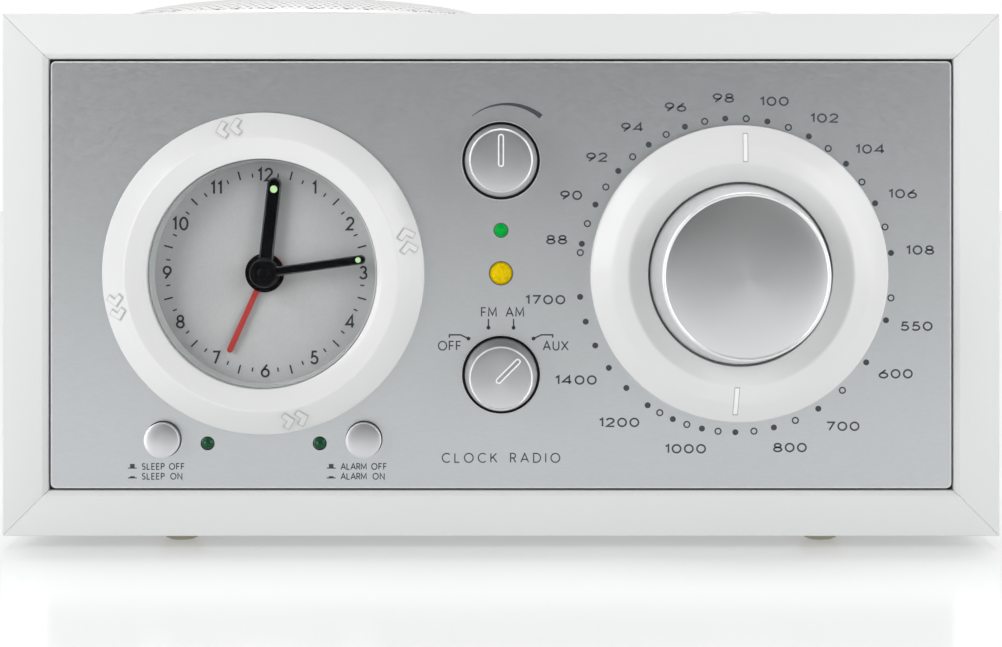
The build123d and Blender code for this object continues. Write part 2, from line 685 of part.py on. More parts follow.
# Volume and selector controls
def small_knob(place, angle):
    """Round knob with a marked face, on the shaft that enters its control."""
    with BuildPart() as knob:
        turn(
            place,
            [(0, -12.0), (SHAFT_R, -12.0), (SHAFT_R, -1.0), (SMALL_KNOB_R, -1.0), (SMALL_KNOB_R, 0.8),
             (6.9, 9.0), (SMALL_KNOB_FACE_R, 9.35), (6.3, SMALL_KNOB_FRONT), (5.9, 9.3), (0, 9.2)],
        )
        with BuildSketch(spot(place[0], place[1], 8.7, angle)):
            with Locations((0, 2.4)):
                Rectangle(1.3, 6.8)
        extrude(amount=2, mode=Mode.SUBTRACT)
    return knob


def control(place):
    """Panel control behind the chassis, with its bush and the pins to the front board."""
    x, z = place
    with BuildPart() as body:
        block((x - 8.5, x + 8.5), (FACE_Y - CHASSIS_BACK, FACE_Y + 14.0), (z - 8.5, z + 8.5))
        rod(place, 3.6, CHASSIS_BACK, -PANEL_T)
        rod(place, SHAFT_R + RUNNING, -12.6, 0, Mode.SUBTRACT)
        for step in (-5, 0, 5):
            block((x + step - 0.5, x + step + 0.5), (FACE_Y + 14.0, FACE_Y - BOARD_FRONT), (z - 7, z - 6.5))
    return body


volume_knob = small_knob(VOLUME, 0)
export("volume_knob", volume_knob)
selector_knob = small_knob(SELECTOR, SELECTOR_ANGLE)
export("selector_knob", selector_knob)
volume_control = control(VOLUME)
export("volume_control", volume_control)
selector_switch = control(SELECTOR)
export("selector_switch", selector_switch)


# Indicator lamps
def lamp(place, radius, tip):
    """Dome lamp with a rim behind the panel and two leads to the front board."""
    x, z = place
    rim = radius + 0.4
    turn(
        place,
        [(0, -6.5), (rim, -6.5), (rim, -5.4), (radius, -5.4), (radius, tip - radius)]
        + [(radius * cos(radians(a)), tip - radius + radius * sin(radians(a))) for a in (20, 40, 60, 78)]
        + [(0, tip)],
    )
    for side in (-0.9, 0.9):
        block(
            (x + side - 0.25, x + side + 0.25),
            (FACE_Y + 6.5, FACE_Y - BOARD_FRONT),
            (z - 0.25, z + 0.25),
        )


with BuildPart() as power_led:
    lamp(POWER_LED, 1.5, 0.9)
export("power_led", power_led)

with BuildPart() as tuning_led:
    lamp(TUNING_LED, 2.5, 1.3)
export("tuning_led", tuning_led)

with BuildPart() as button_leds:
    lamp(SLEEP_LED, 1.5, 0.9)
    lamp(ALARM_LED, 1.5, 0.9)
export("button_leds", button_leds)


# Sleep and alarm buttons
def push_button(place):
    """Domed button with a stop collar and a stem into its switch."""
    with BuildPart() as button:
        turn(
            place,
            [(0, -14.5), (1.4, -14.5), (1.4, -7.0), (4.1, -7.0), (4.1, -6.0), (BUTTON_R, -6.0),
             (BUTTON_R, 2.1), (3.4, 2.6), (2.6, 3.0), (1.4, 3.25), (0, 3.3)],
        )
    return button


sleep_button = push_button(SLEEP_BUTTON)
export("sleep_button", sleep_button)
alarm_button = push_button(ALARM_BUTTON)
export("alarm_button", alarm_button)

with BuildPart() as button_switches:
    for x, z in (SLEEP_BUTTON, ALARM_BUTTON):
        block((x - 4, x + 4), (FACE_Y + 12.0, FACE_Y - BOARD_FRONT + 3.0), (z - 4, z + 4))
        rod((x, z), 1.5, BOARD_FRONT - 1, -11, Mode.SUBTRACT)
export("button_switches", button_switches)

# Front board: an L behind the centre column and the two buttons
with BuildPart() as front_board:
    block((-12.5, 12.5), (FACE_Y - BOARD_FRONT, FACE_Y - BOARD_FRONT + BOARD_T), (14.0, 94.0))
    block((-80.0, -12.5), (FACE_Y - BOARD_FRONT, FACE_Y - BOARD_FRONT + BOARD_T), (14.0, 32.0))
    for x, z in (SLEEP_BUTTON, ALARM_BUTTON):
        block(
            (x - 4, x + 4),
            (FACE_Y - BOARD_FRONT - 1, FACE_Y - BOARD_FRONT + 3),
            (z - 4, z + 4),
            Mode.SUBTRACT,
        )
export("front_board", front_board)

# Main board on posts, with its larger components
BOARD_Z = 18.0
with BuildPart() as main_board:
    block((-45, 88), (-15, 52), (BOARD_Z, BOARD_Z + BOARD_T))
    for x in (-38, 20, 80):
        for y in (-9, 46):
            post((x, y), 3.0, FLOOR_IN, BOARD_Z)
    for x, y, radius, height in ((60, 18, 8, 24), (78, 20, 6, 18), (30, 8, 5, 14), (12, 24, 4, 12)):
        post((x, y), radius, BOARD_Z + BOARD_T, BOARD_Z + BOARD_T + height)
    for x, y, half_x, half_y, height in (
        (-20, 8, 8, 6, 3), (6, 0, 6, 6, 7), (44, 32, 9, 5, 16), (-28, 30, 5, 5, 9)
    ):
        block(
            (x - half_x, x + half_x),
            (y - half_y, y + half_y),
            (BOARD_Z + BOARD_T, BOARD_Z + BOARD_T + height),
        )
export("main_board", main_board)

# Ferrite rod aerial with its coil, clipped under the cabinet top
with BuildPart() as ferrite_aerial:
    for start, end, radius in ((10, 30, 4.0), (30, 54, 5.0), (54, 84, 4.0)):
        with BuildSketch(Plane.YZ.offset(start)) as section:
            with Locations((46, 98.0)):
                Circle(radius)
        extrude(section.sketch, amount=end - start)
    for x in (14, 80):
        block((x - 2, x + 2), (41.0, 51.0), (98.0, CEILING_IN))
export("ferrite_aerial", ferrite_aerial)

# Clock battery in its box, with a pull-off door
BATTERY_X, BATTERY_Z = BATTERY
BOX_FRONT = REAR_OUT - 21.0
with BuildPart() as battery_box:
    block((BATTERY_X - 27.5, BATTERY_X + 27.5), (BOX_FRONT, REAR_OUT), (BATTERY_Z - 8, BATTERY_Z + 8))
    block(
        (BATTERY_X - 26.0, BATTERY_X + 26.0),
        (BOX_FRONT + 1.5, REAR_OUT + 1),
        (BATTERY_Z - 6.5 - 0.9, BATTERY_Z + 7.4),
        Mode.SUBTRACT,
    )
    for side in (-1, 1):
        block(
            (BATTERY_X + side * 25.6 - 0.4, BATTERY_X + side * 25.6 + 0.4),
            (BOX_FRONT + 4, BOX_FRONT + 14),
            (BATTERY_Z - 7.4, BATTERY_Z + 5),
        )
export("battery_box", battery_box)

with BuildPart() as clock_battery:
    with BuildSketch(Plane.YZ.offset(BATTERY_X - 25.0)):
        with Locations((BOX_FRONT + 9.0, BATTERY_Z - 0.15)):
            Circle(7.1)
    extrude(amount=49.0)
    with BuildSketch(Plane.YZ.offset(BATTERY_X + 24.0)):
        with Locations((BOX_FRONT + 9.0, BATTERY_Z - 0.15)):
            Circle(2.6)
    extrude(amount=1.1)
export("clock_battery", clock_battery)

with BuildPart() as battery_door:
    block(
        (BATTERY_X - 29, BATTERY_X + 29),
        (REAR_OUT + 0.05, REAR_OUT + 1.8),
        (BATTERY_Z - 9.5, BATTERY_Z + 9.5),
    )
    fillet(battery_door.edges().filter_by(Axis.Y), radius=1.5)
    for side in (-1, 1):
        block(
            (BATTERY_X + side * 20 - 3, BATTERY_X + side * 20 + 3),
            (REAR_OUT - 2.5, REAR_OUT + 0.05),
            (BATTERY_Z + 6.0, BATTERY_Z + 7.1),
        )
    for rib in range(5):
        block(
            (BATTERY_X - 8, BATTERY_X + 8),
            (REAR_OUT + 1.4, REAR_OUT + 3),
            (BATTERY_Z + 4 - 1.6 * rib, BATTERY_Z + 4.7 - 1.6 * rib),
            Mode.SUBTRACT,
        )
export("battery_door", battery_door)

# Sockets and the bass port
with BuildPart() as audio_sockets:
    for x in AUDIO_X:
        block((x - 4, x + 4), (46.5, REAR_IN), (BOARD_Z + BOARD_T, SOCKET_Z + 4.5))
        rear_rod((x, SOCKET_Z), 3.0, REAR_IN, REAR_OUT + 0.6)
        rear_rod((x, SOCKET_Z), 1.8, REAR_OUT + 0.6 - 13.0, REAR_OUT + 1, Mode.SUBTRACT)
export("audio_sockets", audio_sockets)

with BuildPart() as aerial_socket:
    rear_rod(AERIAL, 6.5, REAR_IN - 2.0, REAR_IN)
    rear_rod(AERIAL, 4.76, REAR_IN, REAR_OUT + 5.5)
    rear_rod(AERIAL, 1.9, REAR_OUT - 3.0, REAR_OUT + 6, Mode.SUBTRACT)
    with BuildSketch(rear_spot(AERIAL[0], AERIAL[1], REAR_OUT)):
        RegularPolygon(6.6, 6)
        Circle(4.7, mode=Mode.SUBTRACT)
    extrude(amount=1.8)
export("aerial_socket", aerial_socket)

with BuildPart() as power_socket:
    block(
        (POWER_SOCKET[0] - 5.5, POWER_SOCKET[0] + 5.5),
        (46.0, REAR_IN),
        (BOARD_Z + BOARD_T, SOCKET_Z + 5.5),
    )
    rear_rod(POWER_SOCKET, 4.5, REAR_IN, REAR_OUT + 0.8)
    rear_rod(POWER_SOCKET, 2.85, REAR_OUT - 10.0, REAR_OUT + 1, Mode.SUBTRACT)
    rear_rod(POWER_SOCKET, 1.05, REAR_OUT - 10.0, REAR_OUT - 1.0)
export("power_socket", power_socket)

PORT_FRONT_Y = 12.0
with BuildPart() as bass_port:
    rear_rod(PORT, PORT_R + 2.0, PORT_FRONT_Y, REAR_OUT + 2.0)
    rear_rod(PORT, PORT_R + 5.0, REAR_OUT, REAR_OUT + 2.0)
    rear_rod(PORT, PORT_R, PORT_FRONT_Y - 1, REAR_OUT + 3.0, Mode.SUBTRACT)
    fillet(bass_port.edges().filter_by(GeomType.CIRCLE).group_by(Axis.Y)[-1], radius=0.9)
export("bass_port", bass_port)
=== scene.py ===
"""Looks of the clock radio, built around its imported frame. Metres; the front faces -Y."""

from math import atan2, ceil, cos, degrees, hypot, pi, radians, sin, tan

import bmesh
import bpy
from mathutils import Matrix, Vector


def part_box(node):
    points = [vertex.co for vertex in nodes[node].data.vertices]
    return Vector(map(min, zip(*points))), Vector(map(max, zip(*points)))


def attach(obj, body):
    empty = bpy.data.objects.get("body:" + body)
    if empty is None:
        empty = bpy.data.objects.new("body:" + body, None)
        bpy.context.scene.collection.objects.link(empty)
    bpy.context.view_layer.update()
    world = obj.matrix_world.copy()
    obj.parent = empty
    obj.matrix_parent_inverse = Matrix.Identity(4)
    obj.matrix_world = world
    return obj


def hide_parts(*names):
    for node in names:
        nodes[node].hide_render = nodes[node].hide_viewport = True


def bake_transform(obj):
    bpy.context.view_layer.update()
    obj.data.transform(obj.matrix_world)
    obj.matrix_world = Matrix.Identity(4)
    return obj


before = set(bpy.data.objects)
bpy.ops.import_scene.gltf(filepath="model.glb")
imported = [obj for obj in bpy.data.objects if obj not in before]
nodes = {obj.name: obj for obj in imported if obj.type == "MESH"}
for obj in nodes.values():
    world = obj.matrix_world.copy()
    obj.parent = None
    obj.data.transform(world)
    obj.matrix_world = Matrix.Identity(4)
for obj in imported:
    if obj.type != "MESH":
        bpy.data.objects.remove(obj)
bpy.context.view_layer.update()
MM = 0.001
FULL_TURN = 2 * pi
TINY = 1e-6

# Places, all read from the frame
panel_low, panel_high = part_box("front_panel")
FACE_Y = panel_low.y


def centre_of(node):
    """Centre of a node's box, as (X, Z) on the front."""
    low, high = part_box(node)
    return ((low.x + high.x) / 2, (low.z + high.z) / 2)


def plan_centre(node):
    """Centre of a node's box, as (X, Y) from above."""
    low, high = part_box(node)
    return ((low.x + high.x) / 2, (low.y + high.y) / 2)


CLOCK = centre_of("clock_lens")
TUNING = centre_of("tuning_dial")
VOLUME = centre_of("volume_knob")
SELECTOR = centre_of("selector_knob")
SLEEP = centre_of("sleep_button")
ALARM = centre_of("alarm_button")


def add_object(name, data):
    """New object in the scene, from its data or from a bmesh, which is used up."""
    if isinstance(data, bmesh.types.BMesh):
        bm, data = data, bpy.data.meshes.new(name)
        bm.to_mesh(data)
        bm.free()
    made = bpy.data.objects.new(name, data)
    bpy.context.scene.collection.objects.link(made)
    return made


# ---------------- materials
class Nodes:
    """A material or world under construction, with short ways to add and join its nodes."""

    def __init__(self, name, library="materials", shader="Principled BSDF"):
        self.owner = getattr(bpy.data, library).new(name)
        self.owner.use_nodes = True
        self.tree = self.owner.node_tree
        self.shader = self.tree.nodes[shader]

    def add(self, kind, **settings):
        """New node; a setting with a capital letter is an input, any other an attribute."""
        node = self.tree.nodes.new(kind)
        for key, value in settings.items():
            if key[0].isupper():
                node.inputs[key.replace("_", " ")].default_value = value
            else:
                setattr(node, key, value)
        return node

    def join(self, source, target):
        self.tree.links.new(source, target)

    def set(self, **values):
        """Values that are the same all over, on the shader's own sockets."""
        for key, value in values.items():
            self.shader.inputs[key.replace("_", " ")].default_value = value

    def noise(self, scale, detail, rough=0.5, stretch=(1, 1, 1)):
        """Object-space noise; scale is in features per metre."""
        place = self.add("ShaderNodeTexCoord")
        mapping = self.add("ShaderNodeMapping", Scale=stretch)
        texture = self.add("ShaderNodeTexNoise", Scale=scale, Detail=detail, Roughness=rough)
        self.join(place.outputs["Object"], mapping.inputs["Vector"])
        self.join(mapping.outputs["Vector"], texture.inputs["Vector"])
        return texture.outputs["Fac"]

    def tint(self, fac, *stops):
        """Base colour from a ramp of (position, colour) stops; returns the colour's socket."""
        node = self.add("ShaderNodeValToRGB")
        elements = node.color_ramp.elements
        while len(elements) < len(stops):
            elements.new(0.5)
        for element, (position, colour) in zip(elements, stops):
            element.position = position
            element.color = (*colour, 1)
        self.join(fac, node.inputs["Fac"])
        self.join(node.outputs["Color"], self.shader.inputs["Base Color"])
        return node.outputs["Color"]

    def gloss(self, fac, low, high):
        """Roughness from a noise, whose 0.3 to 0.7 becomes low to high."""
        node = self.add("ShaderNodeMapRange", From_Min=0.3, From_Max=0.7, To_Min=low, To_Max=high)
        self.join(fac, node.inputs["Value"])
        self.join(node.outputs["Result"], self.shader.inputs["Roughness"])

    def bump(self, fac, distance, strength):
        """Relief from a noise; distance is in metres."""
        node = self.add("ShaderNodeBump", Strength=strength, Distance=distance)
        self.join(fac, node.inputs["Height"])
        self.join(node.outputs["Normal"], self.shader.inputs["Normal"])


def shade(colour, amount):
    """A colour made lighter or darker by a factor."""
    return tuple(min(1.0, max(0.0, c * amount)) for c in colour)


def plastic(name, colour, rough, grain, bump, vary, **extra):
    """Moulded plastic: fine surface texture and slight unevenness in colour and gloss."""
    m = Nodes(name)
    m.tint(m.noise(45, 3), (0.3, shade(colour, 1 - vary)), (0.7, shade(colour, 1 + vary)))
    fine = m.noise(grain, 3)
    m.gloss(fine, rough * 0.88, rough * 1.12)
    m.bump(fine, bump, 0.6)
    m.set(**extra)
    return m.owner


def lacquer():
    """White satin lacquer on board, with the faint texture of the sprayed coat."""
    m = Nodes("white_lacquer")
    m.tint(m.noise(9, 4, 0.6), (0.3, (0.70, 0.71, 0.705)), (0.7, (0.725, 0.735, 0.73)))
    peel = m.noise(420, 2, 0.4)
    m.gloss(peel, 0.6, 0.7)
    m.bump(peel, 0.000012, 0.5)
    m.set(Specular_IOR_Level=0.2)
    return m.owner


def lined_metal(m, lines, colour, rough, wander, depth, relief, anisotropy):
    """Finish shared by brushed and turned metal, from the noise that draws its fine lines."""
    m.tint(lines, (0.25, shade(colour, 0.97)), (0.5, colour), (0.75, shade(colour, 1.03)))
    m.gloss(lines, rough * (1 - wander), rough * (1 + wander))
    m.bump(lines, depth, relief)
    m.set(Metallic=1.0, Anisotropic=anisotropy)
    return m.owner


def brushed_panel():
    """Satin aluminium of the front panel, with fine brush lines running across it."""
    m = Nodes("panel_metal")
    lines = m.noise(3000, 4, 0.7, (0.25, 1, 1))
    return lined_metal(m, lines, (0.73, 0.755, 0.765), 0.30, 0.08, 0.000003, 0.4, 0.3)


def turned(name, colour, rough, centre, anisotropy=0.2):
    """Satin turned metal: very fine rings about the front-facing axis at a centre."""
    ring_pitch = 0.00012
    m = Nodes(name)
    place = m.add("ShaderNodeTexCoord")
    shift = m.add("ShaderNodeMapping", Location=(-centre[0], 0, -centre[1]), Scale=(1, 0, 1))
    length = m.add("ShaderNodeVectorMath", operation="LENGTH")
    rings = m.add("ShaderNodeTexNoise", noise_dimensions="1D", Scale=1 / ring_pitch, Detail=3)
    tangent = m.add("ShaderNodeTangent", direction_type="RADIAL", axis="Y")
    m.join(place.outputs["Object"], shift.inputs["Vector"])
    m.join(shift.outputs["Vector"], length.inputs[0])
    m.join(length.outputs["Value"], rings.inputs["W"])
    m.join(tangent.outputs["Tangent"], m.shader.inputs["Tangent"])
    return lined_metal(m, rings.outputs["Fac"], colour, rough, 0.07, 0.000001, 0.3, anisotropy)


def metal(name, colour, rough, metallic=1.0):
    """Plain machined or plated metal; a part metallic value stands for a matt anodised skin."""
    m = Nodes(name)
    marks = m.noise(700, 3)
    m.tint(marks, (0.3, shade(colour, 0.95)), (0.7, shade(colour, 1.04)))
    m.gloss(marks, rough * 0.85, rough * 1.15)
    m.set(Metallic=metallic)
    return m.owner


def dial_metal():
    """Satin silver of the clock dial: fine grain with a soft sheen."""
    m = Nodes("dial_metal")
    fine = m.noise(2600, 2)
    m.tint(fine, (0.3, (0.35, 0.355, 0.355)), (0.7, (0.38, 0.385, 0.385)))
    m.gloss(fine, 0.42, 0.52)
    m.set(Metallic=0.3)
    return m.owner


def glow(name, colour, strength):
    """Lit lamp lens: coloured plastic with its own light, slightly cloudy inside."""
    m = Nodes(name)
    shades = m.tint(m.noise(1300, 2), (0.35, shade(colour, 0.86)), (0.65, shade(colour, 1.1)))
    m.join(shades, m.shader.inputs["Emission Color"])
    m.set(Roughness=0.2, Specular_IOR_Level=0.06, Emission_Strength=strength)
    return m.owner


def clear(name, colour, rough):
    """Clear acrylic with faint dust in its gloss."""
    m = Nodes(name)
    dust = m.noise(300, 4)
    m.gloss(dust, rough, rough + 0.02)
    m.tint(dust, (0.3, colour), (0.7, shade(colour, 1.01)))
    m.set(Transmission_Weight=1.0, IOR=1.09)
    return m.owner


def foot_rubber():
    """Clear yellowish polyurethane of the stick-on feet."""
    m = Nodes("foot_rubber")
    cloud = m.noise(250, 3)
    m.tint(cloud, (0.3, (0.95, 0.90, 0.66)), (0.7, (0.97, 0.93, 0.74)))
    m.gloss(cloud, 0.18, 0.26)
    m.set(Transmission_Weight=0.55, IOR=1.48)
    return m.owner


def board():
    """Green circuit board with copper tracks showing through the mask."""
    m = Nodes("board")
    place = m.add("ShaderNodeTexCoord")
    cells = m.add("ShaderNodeTexVoronoi", feature="DISTANCE_TO_EDGE", distance="CHEBYCHEV",
                  Scale=140)
    m.join(place.outputs["Object"], cells.inputs["Vector"])
    m.tint(cells.outputs["Distance"], (0.03, (0.10, 0.32, 0.16)), (0.09, (0.03, 0.17, 0.08)))
    m.set(Roughness=0.35)
    return m.owner


SILVER = (0.72, 0.725, 0.735)
WHITE = (0.72, 0.725, 0.72)
BLACK = (0.022, 0.022, 0.024)
panel_metal = brushed_panel()
# Each knob's face silver is set a little darker or lighter than the others: painted shade and
# light, matching how each knob is lit.
silver_volume = turned("silver_volume", shade(SILVER, 0.92), 0.34, VOLUME, anisotropy=0.4)
silver_selector = turned("silver_selector", shade(SILVER, 0.95), 0.34, SELECTOR, anisotropy=0.4)
silver_tuning = turned("silver_tuning", shade(SILVER, 0.96), 0.32, TUNING, anisotropy=0.45)
silver_sleep = turned("silver_sleep", SILVER, 0.36, SLEEP)
silver_alarm = turned("silver_alarm", SILVER, 0.36, ALARM)
silver_tuning_side = metal("silver_tuning_side", (0.70, 0.71, 0.72), 0.42, 0.55)
# The small knobs' side silver is far darker than the tuning knob's: painted shade on their sides.
silver_small_side_shaded = metal("silver_small_side_shaded", (0.44, 0.445, 0.45), 0.34, 0.75)
# Darker than the knob silver, for the floor of each knob's slot: painted shade in the groove.
slot_painted_shade = metal("slot_painted_shade", (0.52, 0.525, 0.53), 0.4)
polished = metal("polished_rim", (0.80, 0.805, 0.81), 0.40, 0.6)
white_lacquer = lacquer()
white_moulding = plastic("white_moulding", WHITE, 0.32, 700, 0.000001, 0.01, Coat_Weight=0.15)
# Grey for the outlines round the alarm ring's chevrons: painted shade along their raised sides.
chevron_painted_shade = plastic("chevron_painted_shade", shade(WHITE, 0.72), 0.35, 700, 0.000001, 0.01)
# Whiter than the mouldings, for the floor of the dial's pointer grooves and the edge of the knobs'
# slots: painted light.
slot_painted_light = plastic("slot_painted_light", (0.88, 0.88, 0.88), 0.3, 900, 0.000003, 0.03)
slot_dark = plastic("slot_dark", (0.09, 0.09, 0.095), 0.4, 900, 0.000003, 0.1)
# Grey for the outlines of the dial's pointer grooves: painted shade of their walls.
pointer_painted_shade = plastic("pointer_painted_shade", (0.42, 0.42, 0.43), 0.5, 900, 0.000003, 0.05)
lens_seat = plastic("lens_seat", (0.42, 0.43, 0.43), 0.35, 900, 0.000001, 0.03)
white_paint = plastic("grille_paint", (0.76, 0.76, 0.755), 0.38, 1500, 0.000003, 0.02)
black_moulding = plastic("black_moulding", BLACK, 0.5, 1400, 0.00004, 0.1)
black_satin = plastic("hand_black", (0.002, 0.002, 0.0025), 0.35, 900, 0.000001, 0.1,
                      Specular_IOR_Level=0.06)
# Lighter, glossier black of the hands' borders and hub rings: real gloss, and a lighter colour that
# is painted highlight.
black_gloss_and_highlight = plastic("hand_gloss_and_highlight", (0.04, 0.043, 0.048), 0.16, 900, 0.000001, 0.1,
                      Specular_IOR_Level=0.8)
red_satin = plastic("hand_red", (0.29, 0.012, 0.008), 0.45, 900, 0.000003, 0.05)
lume = plastic("lume", (0.39, 0.61, 0.28), 0.6, 2500, 0.000005, 0.06)
print_ink = plastic("print_ink", (0.045, 0.053, 0.065), 0.5, 2500, 0.000002, 0.1)
dial_ink = plastic("dial_ink", (0.012, 0.013, 0.014), 0.5, 2500, 0.000002, 0.1)
cone_paper = plastic("cone_paper", (0.03, 0.03, 0.032), 0.85, 1800, 0.00006, 0.2)
soft_black = plastic("surround_rubber", (0.02, 0.02, 0.02), 0.6, 900, 0.00002, 0.1)
nylon = plastic("nylon", (0.80, 0.79, 0.73), 0.42, 900, 0.00001, 0.03, Subsurface_Weight=0.05)
wood = plastic("pine_block", (0.55, 0.38, 0.20), 0.7, 500, 0.00008, 0.2)
component = plastic("component", (0.06, 0.06, 0.07), 0.45, 900, 0.00001, 0.15)
ferrite = plastic("ferrite", (0.05, 0.05, 0.055), 0.65, 1200, 0.00004, 0.15)
jacket = plastic("battery_jacket", (0.09, 0.10, 0.13), 0.28, 600, 0.000003, 0.1)
zinc = metal("zinc_steel", (0.60, 0.60, 0.61), 0.32)
nickel = metal("nickel", (0.72, 0.70, 0.66), 0.18)
steel = metal("steel_shaft", (0.62, 0.62, 0.63), 0.25)
brass = metal("brass_shaft", (0.74, 0.56, 0.27), 0.28)
screw_black = metal("black_screw", (0.05, 0.05, 0.055), 0.35)
led_green = glow("led_green", (0.0, 0.30, 0.035), 0.3)
led_yellow = glow("led_yellow", (0.56, 0.40, 0.0), 0.3)
led_dark = plastic("led_dark", (0.002, 0.055, 0.022), 0.15, 300, 0.000002, 0.3,
                   Specular_IOR_Level=0.3)
lens_clear = clear("lens_clear", (0.97, 0.98, 0.98), 0.0)
rubber_clear = foot_rubber()
board_green = board()
dial_finish = dial_metal()

# Finish of each CAD node, whether it stays in view or a detailed piece stands for it
FINISHES = (
    (white_lacquer, "cabinet_top cabinet_bottom cabinet_left cabinet_right"),
    (panel_metal, "front_panel"),
    (black_moulding, "front_chassis rear_panel clock_plate clock_movement time_set_knob "
                     "gear_housing battery_box battery_door audio_sockets power_socket bass_port"),
    (wood, "corner_blocks"),
    (screw_black, "rear_screws"),
    (rubber_clear, "rubber_feet"),
    (white_paint, "speaker_grille"),
    (zinc, "speaker_basket speaker_yoke speaker_screws"),
    (ferrite, "speaker_magnet ferrite_aerial"),
    (cone_paper, "speaker_cone"),
    (soft_black, "speaker_surround"),
    (white_moulding, "alarm_ring tuning_dial snooze_button dial_carrier"),
    (lens_clear, "clock_lens"),
    (dial_finish, "clock_dial"),
    (black_satin, "hour_hand minute_hand"),
    (red_satin, "alarm_hand"),
    (nylon, "alarm_pinion planet_gear_1 planet_gear_2 planet_gear_3"),
    (brass, "planet_carrier"),
    (steel, "tuning_shaft"),
    (silver_tuning, "tuning_knob"),
    (silver_volume, "volume_knob"),
    (silver_selector, "selector_knob"),
    (silver_sleep, "sleep_button"),
    (silver_alarm, "alarm_button"),
    (led_green, "power_led"),
    (led_yellow, "tuning_led"),
    (led_dark, "button_leds"),
    (component, "snooze_switch tuning_capacitor volume_control selector_switch button_switches"),
    (board_green, "front_board main_board"),
    (jacket, "clock_battery"),
    (nickel, "aerial_socket"),
)
for material, names in FINISHES:
    for name in names.split():
        nodes[name].data.materials.clear()
        nodes[name].data.materials.append(material)


# ---------------- shapes
def rounded(points, steps, closed=False):
    """Path through (x, y, radius) corners, each corner rounded by an arc of that radius."""
    path = []
    count = len(points)
    most = 0.499  # share of a side that one arc may take, so that two arcs never meet
    for i, point in enumerate(points):
        x, y, radius = (*point, 0)[:3]
        if not radius or (not closed and i in (0, count - 1)):
            path.append((x, y))
            continue
        here = Vector((x, y))
        back = Vector(points[i - 1][:2]) - here
        ahead = Vector(points[(i + 1) % count][:2]) - here
        turn = back.angle(ahead)
        reach = min(radius / tan(turn / 2), most * back.length, most * ahead.length)
        radius = reach * tan(turn / 2)
        start = here + back.normalized() * reach
        end = here + ahead.normalized() * reach
        inwards = (back.normalized() + ahead.normalized()).normalized()
        middle = here + inwards * (radius / sin(turn / 2))
        first, last = start - middle, end - middle
        sweep = atan2(first.x * last.y - first.y * last.x, first.dot(last))
        for step in range(steps + 1):
            a = sweep * step / steps
            path.append((middle.x + first.x * cos(a) - first.y * sin(a),
                         middle.y + first.x * sin(a) + first.y * cos(a)))
    return path


def mesh_object(name, bm, material, body, smooth):
    """Finish a mesh as a piece, on a body, if any; edges over smooth degrees stay sharp."""
    bmesh.ops.remove_doubles(bm, verts=bm.verts, dist=1e-7)
    bmesh.ops.recalc_face_normals(bm, faces=bm.faces)
    piece = add_object(name, bm)
    mesh = piece.data
    mesh.polygons.foreach_set("use_smooth", [True] * len(mesh.polygons))
    mesh.set_sharp_from_angle(angle=radians(smooth))
    mesh.materials.append(material)
    if body:
        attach(piece, body)
    return piece


def soften(piece, width):
    """Round off the sharp edges of a piece."""
    edge = piece.modifiers.new("soften", "BEVEL")
    edge.width = width
    edge.segments = 2
    edge.limit_method = "ANGLE"
    edge.angle_limit = radians(40)


def on_front(x, z, height):
    """Point in front of the panel, from front coordinates in mm."""
    return Vector((x * MM, FACE_Y - height * MM, z * MM))


def about(place, clockwise, x, y):
    """Front coordinates in mm of a point x across and y outwards along a clock angle."""
    a = radians(clockwise)
    return (place[0] / MM + x * cos(a) + y * sin(a), place[1] / MM + y * cos(a) - x * sin(a))


def polar(place, radius, clockwise):
    """Front coordinates in mm at a radius and clock angle about a place in metres."""
    return about(place, clockwise, 0, radius)


def circle(x, z, radius, sides):
    """Points round a circle."""
    return [(x + radius * cos(FULL_TURN * i / sides), z + radius * sin(FULL_TURN * i / sides))
            for i in range(sides)]


def band(bm, one, two):
    """Faces between two closed loops of as many points."""
    for i in range(len(one)):
        j = (i + 1) % len(one)
        bm.faces.new((one[i], one[j], two[j], two[i]))


def revolve(bm, profile, point, segments, closed, start=0.0, sweep=FULL_TURN):
    """Revolve a (radius, height) profile for all or part of a turn; point() gives each place."""
    count = segments if sweep == FULL_TURN else segments + 1
    rings = []
    for radius, height in profile:
        turns = [start + sweep * i / segments for i in range(count)] if radius else [0.0]
        rings.append([bm.verts.new(point(radius * MM, a, height * MM)) for a in turns])
    for one, two in zip(rings, rings[1:] + rings[:1] if closed else rings[1:]):
        for i in range(segments):
            j = (i + 1) % count
            corners = [one[i % len(one)], one[j % len(one)], two[j % len(two)], two[i % len(two)]]
            corners = list(dict.fromkeys(corners))
            if len(corners) > 2:
                bm.faces.new(corners)


def lathe(bm, place, profile, segments, closed=True):
    """Revolve a (radius, height) profile in mm about the front-facing axis at a place."""
    def point(radius, a, height):
        return (place[0] + radius * cos(a), FACE_Y - height, place[1] + radius * sin(a))

    revolve(bm, profile, point, segments, closed)


def spun(bm, centre, profile, segments, closed=False, *part):
    """Revolve a (radius, z) profile in mm about an upright axis; part is a start and a sweep."""
    def point(radius, a, z):
        return (centre[0] + radius * cos(a), centre[1] + radius * sin(a), z)

    revolve(bm, profile, point, segments, closed, *part)


def prism(bm, outline, low, high, place=on_front):
    """Solid between two heights over an outline of (x, y) points in mm."""
    bottom = [bm.verts.new(place(x, y, low)) for x, y in outline]
    top = [bm.verts.new(place(x, y, high)) for x, y in outline]
    bm.faces.new(bottom)
    bm.faces.new(top)
    band(bm, bottom, top)


